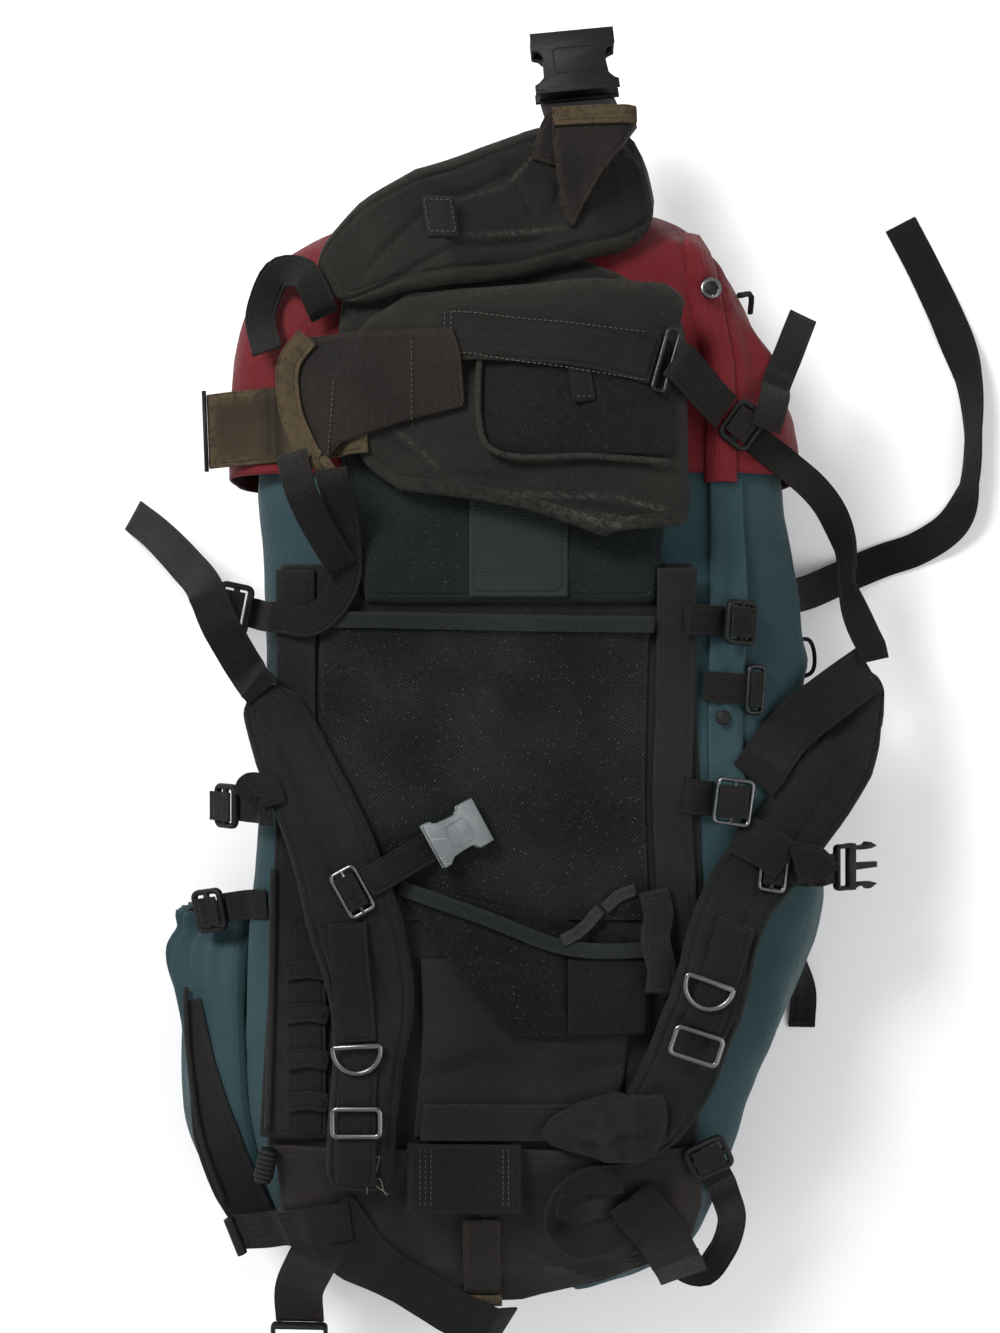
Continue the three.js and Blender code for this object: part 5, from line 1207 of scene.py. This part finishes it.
strap("belt_fold_edge", [[0.1, 1.135, 0.9], [0.22, 1.14, 0.95], [0.37, 1.143, 0.88]], 0.012, 0.0026,
    khaki_webbing, "faded_webbing", kind="pad", stiff=10)
sewn("belt_thread", [[(-0.35, 0.74), (-0.35, 0.595)], [(-0.62, 0.55), (-0.6, 0.68)]])

# Narrow straps at the root of the belt and along the left side: loops and compression straps, run through
# ladder locks and left with free tails.
SIDE_STRAPS = {"wing_loop_left": (NARROW, [[-0.64, 0.8], [-0.71, 0.87], [-0.8, 0.88], [-0.86, 0.81],
    [-0.82, 0.73]]), "belt_root_strap": (NARROW, [[-0.73, 0.55], [-0.67, 0.45], [-0.58, 0.36]]),
    "lower_strap_left": (PLAIN, [[-0.84, 0.145], [-0.93, 0.205, 0.98], [-0.99, 0.27, 0.9],
    [-1.03, 0.32, 0.9], [-1.14, 0.375, 0.6], [-1.31, 0.445, 0.22], [-1.44, 0.49, 0.02]])}
anchor_left = ribbon("anchor_strap_left_webbing", [[-0.6, 0.52], [-0.57, 0.42], [-0.58, 0.33],
    [-0.68, 0.27], [-0.8, 0.275], [-0.9, 0.285, 0.92]], NARROW, ("anchor_strap_left",), wobble=0.12)
fit_on(anchor_left, "ladder_lock_left_frame", frame_of(25, 2, 7, 5, 4), black_plastic,
    ("ladder_lock_left",))
weave("ladder_lock_left_webbing", anchor_left, 0.024, 2, 0.007, 0.004)
for name, (width, rows) in SIDE_STRAPS.items():
    ribbon(name + "_webbing", rows, width, (name,), wobble=0.1)

# The chest strap: narrow faded webbing on a wire slider at each shoulder strap. Its silver socket is at the
# left, and its plug with three prongs at the right, where the webbing is folded back on itself.
chest_left = strap("chest_strap_left_webbing", [[-0.5, -0.183], [-0.38, -0.148], [-0.29, -0.122]], NARROW,
    WEB, black_webbing, "faded_webbing", ("chest_strap_left",))
fit_on(chest_left, "chest_slider_left_wire", frame_of(25, 2, 5, 3.4, 3, 1), steel,
    ("chest_slider_left",), start=True)
weave("chest_slider_left_webbing", chest_left, 0.0225, 2, 0.005, 0.003, start=True)
fit_on(chest_left, "chest_socket_shell", socket(25, 38, 11), grey_plastic,
    ("chest_socket",))
chest_right = strap("chest_strap_right_webbing", [[0.87, -0.162], [0.96, -0.168, 0.9],
    [1.04, -0.168, 0.78]], NARROW, WEB, black_webbing, "faded_webbing", ("chest_strap_right",))
fit_on(chest_right, "chest_slider_right_wire", frame_of(25, 2, 5, 3.4, 3, 1), steel,
    ("chest_slider_right",), start=True)
weave("chest_slider_right_webbing", chest_right, 0.0225, 2, 0.005, 0.003, start=True)
fit_on(chest_right, "chest_plug_prongs", plug(25, 38, 6), black_plastic, ("chest_plug",),
    droop=-20)
ribbon("chest_sleeve_right", [[0.7, -0.1], [0.8, -0.125], [0.86, -0.15]], 0.028, stiff=10)
ribbon("chest_fold_right", [[0.88, -0.155, 0, 1], [0.94, -0.15, 0, 1, 12], [0.985, -0.175, 0, 1, -14]],
    0.024, crumpled=0.001)

# Load webbing and rings on the shoulder straps: a wide ribbon sewn down the left one, and on each a D ring
# and a rectangular link of bright wire.
load_left = ribbon("load_strap_left_webbing", [[-0.56, -0.25], [-0.55, -0.33], [-0.535, -0.41],
    [-0.53, -0.455]], PLAIN, ("load_strap_left",))
ribbon("load_strap_left_low", [[-0.525, -0.5], [-0.53, -0.545], [-0.53, -0.58], [-0.53, -0.7]], PLAIN,
    thick=THIN_WEB)
fit_on(load_left, "d_ring_left_wire", d_ring(25), steel, ("d_ring_left",))
link = frame_of(25, 1, 14, 3.6, 3.6, 1)
fit("link_ring_left_wire", link, -0.53, -0.59, 0, steel, ("link_ring_left",))
ribbon("load_strap_right_webbing", [[0.69, -0.25], [0.63, -0.33], [0.59, -0.39], [0.56, -0.43]], PLAIN,
    thick=THIN_WEB)
fit("d_ring_right_wire", d_ring(25), 0.59, -0.345, 160, steel, ("d_ring_right",))
fit("link_ring_right_wire", link, 0.55, -0.45, -18, steel, ("link_ring_right",))

# The strap of the right shoulder pad, its wire lock on the edge of the panel, and the stabiliser strap with
# its buckle and two free ends. The longest one lies on the ground beside the pack.
ribbon("lower_strap_right_webbing", [[1.19, 0.185, 0.72], [1.08, 0.15, 0.85], [0.93, 0.095, 0.95],
    [0.76, -0.01]], WIDE, ("lower_strap_right",))
ribbon("panel_anchor_right", [[0.53, -0.035], [0.58, -0.04], [0.628, -0.042]], 0.023)
fit("ladder_lock_right_wire", frame_of(23, 2, 8, 4, 3.2, 1), 0.688, -0.045, 82, steel,
    ("ladder_lock_right",))
ribbon("ladder_lock_right_webbing", [[0.64, -0.043], [0.69, -0.045], [0.735, -0.046]], 0.021, step=0.0012,
    stiff=2)
stabiliser = ribbon("stabiliser_strap_webbing", [[1.2, 0.2, 0.64], [1.17, 0.27, 0.55, 1, 20],
    [1.14, 0.34, 0.55, 1, 70], [1.13, 0.4, 0.58, 1, 60], [1.06, 0.47, 0.75, 1, 15], [0.9, 0.54, 0.98],
    [0.77, 0.59]], NARROW, ("stabiliser_strap",))
lock(stabiliser, "stabiliser_slider", "stabiliser_slider_frame", ("stabiliser_slider",))
ribbon("stabiliser_root", [[0.47, 0.7], [0.55, 0.67], [0.66, 0.63]], PLAIN)
ribbon("stabiliser_tail_webbing", [[0.79, 0.6], [0.83, 0.66], [0.88, 0.725, 0.9], [0.93, 0.785, 0.8],
    [0.97, 0.83, 0.7]], NARROW, ("stabiliser_tail",))


def on_floor(x, y, reach=0.001):
    """The ground, for what lies beside the pack."""
    return 0 * x


def bag_edge(side, y):
    """The share of the half width that the bag's cloth reaches at a place along it."""
    return float(np.interp(y, BAG_SECTIONS["y"], BAG_SECTIONS[side]))


TAIL_ROOT = 0.32
tail_start = bag_edge("right", TAIL_ROOT - 0.5 * PLAIN / HALF_LENGTH) + GAP / HALF_WIDTH + 0.003
ribbon("long_tail_webbing", [[tail_start, TAIL_ROOT, 0.42], [1.06, 0.335, 0.2], [1.2, 0.365, 0.03],
    [1.36, 0.4], [1.5, 0.427], [1.62, 0.475, 0, 1, 25], [1.67, 0.55, 0, 1, 75], [1.685, 0.65, 0, 1, 80],
    [1.67, 0.76, 0, 1, 60], [1.61, 0.87, 0, 1, 10], [1.52, 0.98], [1.43, 1.073]], PLAIN, ("long_tail",),
    ground=on_floor)

# The compression straps of the sides: narrow webbing sewn to the edge of the back, each with its lock, and
# a loop and a tail that hang free.
side_right = ribbon("side_strap_right_webbing", [[0.53, 0.27], [0.6, 0.27], [0.66, 0.268]], NARROW,
    ("side_strap_right",))
lock(side_right, "side_lock_right", "side_lock_right_frame", ("side_lock_right",))
side_mid = ribbon("side_strap_mid", [[0.6, 0.155], [0.68, 0.152], [0.735, 0.15]], NARROW)
fit_on(side_mid, "side_lock_mid", frame_of(25, 1, 8, 4, 3.4, 1), dark_steel)
weave("side_lock_mid_webbing", side_mid, 0.0235, 1, 0.008, 0.0034)
side_low = ribbon("side_loop_low_webbing", [[0.64, -0.7], [0.69, -0.76, 0.85], [0.735, -0.84, 0.6],
    [0.72, -0.92, 0.4], [0.66, -0.965, 0.3], [0.59, -0.95, 0.34], [0.565, -0.885, 0.5]], NARROW,
    ("side_loop_low",))
lock(side_low, "side_lock_low", "side_lock_low_frame", ("side_lock_low",), start=True)
side_left = ribbon("side_strap_left_webbing", [[-0.81, -0.06], [-0.88, -0.06, 0.9], [-0.945, -0.06, 0.84]],
    NARROW, ("side_strap_left",))
lock(side_left, "side_lock_left", "side_lock_left_frame", ("side_lock_left",))
ribbon("side_loop_left", [[-0.9, -0.04, 0.9], [-0.86, -0.015, 0], [-0.82, -0.02], [-0.8, -0.05]], 0.016)
ribbon("side_tail_right_webbing", [[0.985, -0.33, 0.4, 1, 80], [1.02, -0.39, 0.2, 1, 50],
    [1.06, -0.46, 0.03, 1, 10], [1.06, -0.53]], NARROW, ("side_tail_right",), ground=on_floor)

# The side pocket: teal cloth gathered on elastic along its mouth, sewn to the bag's side behind a black
# gusset. A piping runs down its outer edge, and a ribbed cord lock hangs at its foot.
POCKET_SECTIONS = table("y out high low", [[-0.27, -1.2, 0.64, 0.07], [-0.35, -1.245, 0.7, 0.04],
    [-0.47, -1.2, 0.73, 0.03], [-0.66, -1.19, 0.7, 0.03], [-0.78, -1.1, 0.62, 0.05],
    [-0.86, -1.0, 0.5, 0.1]])
POCKET_ROWS, POCKET_ARC = 90, 80
at = np.linspace(0, len(POCKET_SECTIONS["y"]) - 1, POCKET_ROWS)
row = {key: smooth(values, at)[:, None] for key, values in POCKET_SECTIONS.items()}
angle = np.linspace(0, np.pi, POCKET_ARC)[None, :]
bag_side = np.interp(row["y"], BAG_SECTIONS["y"], BAG_SECTIONS["left"]) * HALF_WIDTH - 2 * GAP
from_mouth = (row["y"][0] - row["y"]) * HALF_LENGTH
gathers = np.exp(-from_mouth / 0.035) * np.sin(26 * angle + 2 * np.sin(5 * angle)) * 0.005
slack = 0.0035 * np.sin(7 * angle + from_mouth * 30)
gathers = gathers + slack * np.exp(-((from_mouth - 0.06) / 0.06) ** 2)
gathers = gathers * np.sin(angle) ** 0.3
elastic = 0.004 * np.exp(-((from_mouth - 0.012) / 0.006) ** 2)
bulge = (bag_side - row["out"] * HALF_WIDTH) - elastic + gathers
x = bag_side - bulge * np.sin(angle) ** 0.6
rise = 0.5 * (row["high"] - row["low"]) * DEPTH - elastic + gathers
z = 0.5 * (row["high"] + row["low"]) * DEPTH + rise * np.cos(angle)
spots = np.stack([x, row["y"] * HALF_LENGTH + 0 * x, np.maximum(z, 0.001)], -1) + np.array(MIDDLE)
around = angle * 0.06 + 0 * x
lie = np.stack([around, from_mouth + 0 * x, from_mouth + 0 * x + 0.001], -1)
pocket = make("side_pocket_cloth", spots, grid_faces(POCKET_ROWS, POCKET_ARC), lie, teal_cloth,
    ("side_pocket",))
wall = pocket.modifiers.new("wall", "SOLIDIFY")
wall.thickness, wall.offset = WALL, -1
strap("pocket_gusset", [[-1.12, -0.42, 0, 0.35], [-1.09, -0.53, 0, 0.7], [-1.045, -0.66, 0, 1.3],
    [-0.975, -0.77, 0, 1.4], [-0.89, -0.86, 0, 1.1]], 0.024, 0.0016, black_cloth, "black_cloth", stiff=8)
strap("pocket_edge_piping", [[-1.15, -0.4], [-1.13, -0.53], [-1.09, -0.67], [-1.02, -0.79]], 0.004, 0.004,
    black_cloth, "black_cloth", kind="round", stiff=4)
pocket_strap = ribbon("pocket_strap", [[-0.85, -0.235], [-0.93, -0.24, 0.84], [-1.0, -0.247, 0.78]], NARROW)
lock(pocket_strap, "pocket_lock", "pocket_lock")
barrel = Moulding()
for k in range(7):
    barrel.bar([(0, 3.1 * k - 10.6), (0, 3.1 * k - 9.4), (0, 3.1 * k - 8.2)], 13 - (k in (0, 6)) * 1.6,
        13 - (k in (0, 6)) * 1.6, sides=20, square=1)
barrel.bar([(0, -10), (0, 0), (0, 10)], 11, 11, sides=20, square=1)
fit("cord_lock_barrel", barrel, -0.84, -0.685, -12, black_plastic, ("cord_lock",))

# The haul loop and the straps over the lid: a wide patch sewn down with a box of thread, a grab loop that
# springs from it, and webbing that runs out over the end of the lid.
ribbon("haul_patch_webbing", [[-0.37, -0.7], [-0.17, -0.7], [0, -0.7]], 0.045, ("haul_patch",))
sewn("haul_thread", [[(x, -0.648), (x, -0.752)] for x in (-0.33, -0.312, -0.294, -0.06, -0.042)])
ribbon("haul_loop_webbing", [[0.33, -0.7], [0.2, -0.705, 0, 1, 20], [0.11, -0.735, 0, 1, 65],
    [0.1, -0.79, 0, 1, 70], [0.2, -0.82, 0, 1, 25], [0.33, -0.8], [0.44, -0.79]], NARROW, ("haul_loop",),
    step=0.003)
strap("lid_tab_webbing", [[-0.13, -0.78], [-0.13, -0.87], [-0.13, -0.975, 0.62]], PLAIN, WEB, faded_webbing,
    "faded_webbing", ("lid_tab",))
strap("lid_tab_end", [[-0.13, -0.955, 0.66], [-0.13, -0.982, 0.62]], 0.027, WEB, khaki_webbing,
    "faded_webbing")
ribbon("lid_strap_right", [[0.36, -0.74], [0.47, -0.82, 0.8], [0.54, -0.9, 0.62], [0.57, -0.945, 0.45]],
    WIDE, wobble=0.2)
lid_left = strap("lid_strap_left_webbing", [[-0.64, -0.82], [-0.72, -0.9, 0.7], [-0.77, -0.97, 0.58],
    [-0.775, -1.04, 0.5]], WIDE, WEB, faded_webbing, "faded_webbing", ("lid_strap_left",))
fit_on(lid_left, "lid_buckle_prongs", plug(34, 40, 6), black_plastic, ("lid_buckle",))
ribbon("lid_strap_diagonal_webbing", [[-0.62, -0.76, 0, 1.25], [-0.5, -0.85, 0, 1.25],
    [-0.36, -0.93, 0.78, 1.25], [-0.2, -0.99, 0.62, 1.25], [-0.05, -1.04, 0.5, 1.2]], PLAIN,
    ("lid_strap_diagonal",))
cross = ribbon("lid_cross_strap", [[-0.56, -0.78], [-0.68, -0.79], [-0.82, -0.815, 0.86],
    [-0.96, -0.845, 0.7]], PLAIN)
fit_on(cross, "cross_roller", Moulding().bar([(-13, 0), (-12, 0), (0, 0), (12, 0), (13, 0)], 7, 7,
    square=1), black_plastic)

# The pull cord of the side zip: a thin loop that stands out from the bag's right side. Beside it the red
# compartment has an eyelet and the teal side a stud.
CORD = 0.003
cord_root = 2 * GAP / HALF_WIDTH
PULL_CORD = [
    [bag_edge("right", 0.235) + cord_root, 0.235, 0.5], [1.02, 0.24, 0.47], [1.045, 0.215, 0.44],
    [1.035, 0.18, 0.46], [bag_edge("right", 0.165) + cord_root, 0.165, 0.5],
]
cord_rows = table("x y z", PULL_CORD)
cord_spots = np.stack([cord_rows["x"] * HALF_WIDTH, cord_rows["y"] * HALF_LENGTH, cord_rows["z"] * DEPTH],
    -1) + np.array(MIDDLE)
cord_line, _, cord_run = along(cord_spots, cord_rows, 0.0015)
onward = np.gradient(cord_line, axis=0)
onward /= np.linalg.norm(onward, axis=1, keepdims=True)
side = np.cross(onward, [0, 0, 1])
side /= np.linalg.norm(side, axis=1, keepdims=True)
cord_stations = {"point": cord_line, "side": side, "up": np.cross(side, onward), "run": cord_run,
    "width": CORD + 0 * cord_run, "thick": CORD + 0 * cord_run}
points, faces, lie = sweep(cord_stations, section("round"))
pull_cord = make("pull_cord_braid", points, faces, lie, black_webbing, ("pull_cord",),
    piled=False)
fit("eyelet", Moulding().bar(loop(11, 11, 5.5), 3, 2.2, closed=True, square=1), 0.62, 0.849, 0, steel)


def disc(radius):
    """The outline of a round plate."""
    return [(radius * math.cos(t), radius * math.sin(t)) for t in np.linspace(0, 2 * np.pi, 25)[:-1]]


fit("eyelet_room", Moulding().plate(disc(4), -0.3, 0.3, 0.1), 0.62, 0.849, 0, black_plastic)
fit("stud", Moulding().plate(disc(5), -1, 1, 0.8), 0.66, 0.1, 0, black_plastic)
strap("cord_end", [[0.74, 0.86, 0.7], [0.79, 0.87, 0.66], [0.8, 0.845, 0.6]], 0.004, 0.004, black_webbing,
    "black_webbing", kind="round")

# The floor under the pack is plain and pale, and is no part of it.
floor_finish = Finish("pale_floor", 0.9)
floor_finish.shader.inputs["Base Color"].default_value = (0.93, 0.93, 0.93, 1)
floor_mesh = bpy.data.meshes.new("floor")
FLOOR = 6.0
floor_mesh.from_pydata([(-FLOOR, -FLOOR, 0), (FLOOR, -FLOOR, 0), (FLOOR, FLOOR, 0), (-FLOOR, FLOOR, 0)], [],
    [(0, 1, 2, 3)])
floor_mesh.materials.append(floor_finish.material)
floor = bpy.data.objects.new("floor", floor_mesh)
bpy.context.scene.collection.objects.link(floor)
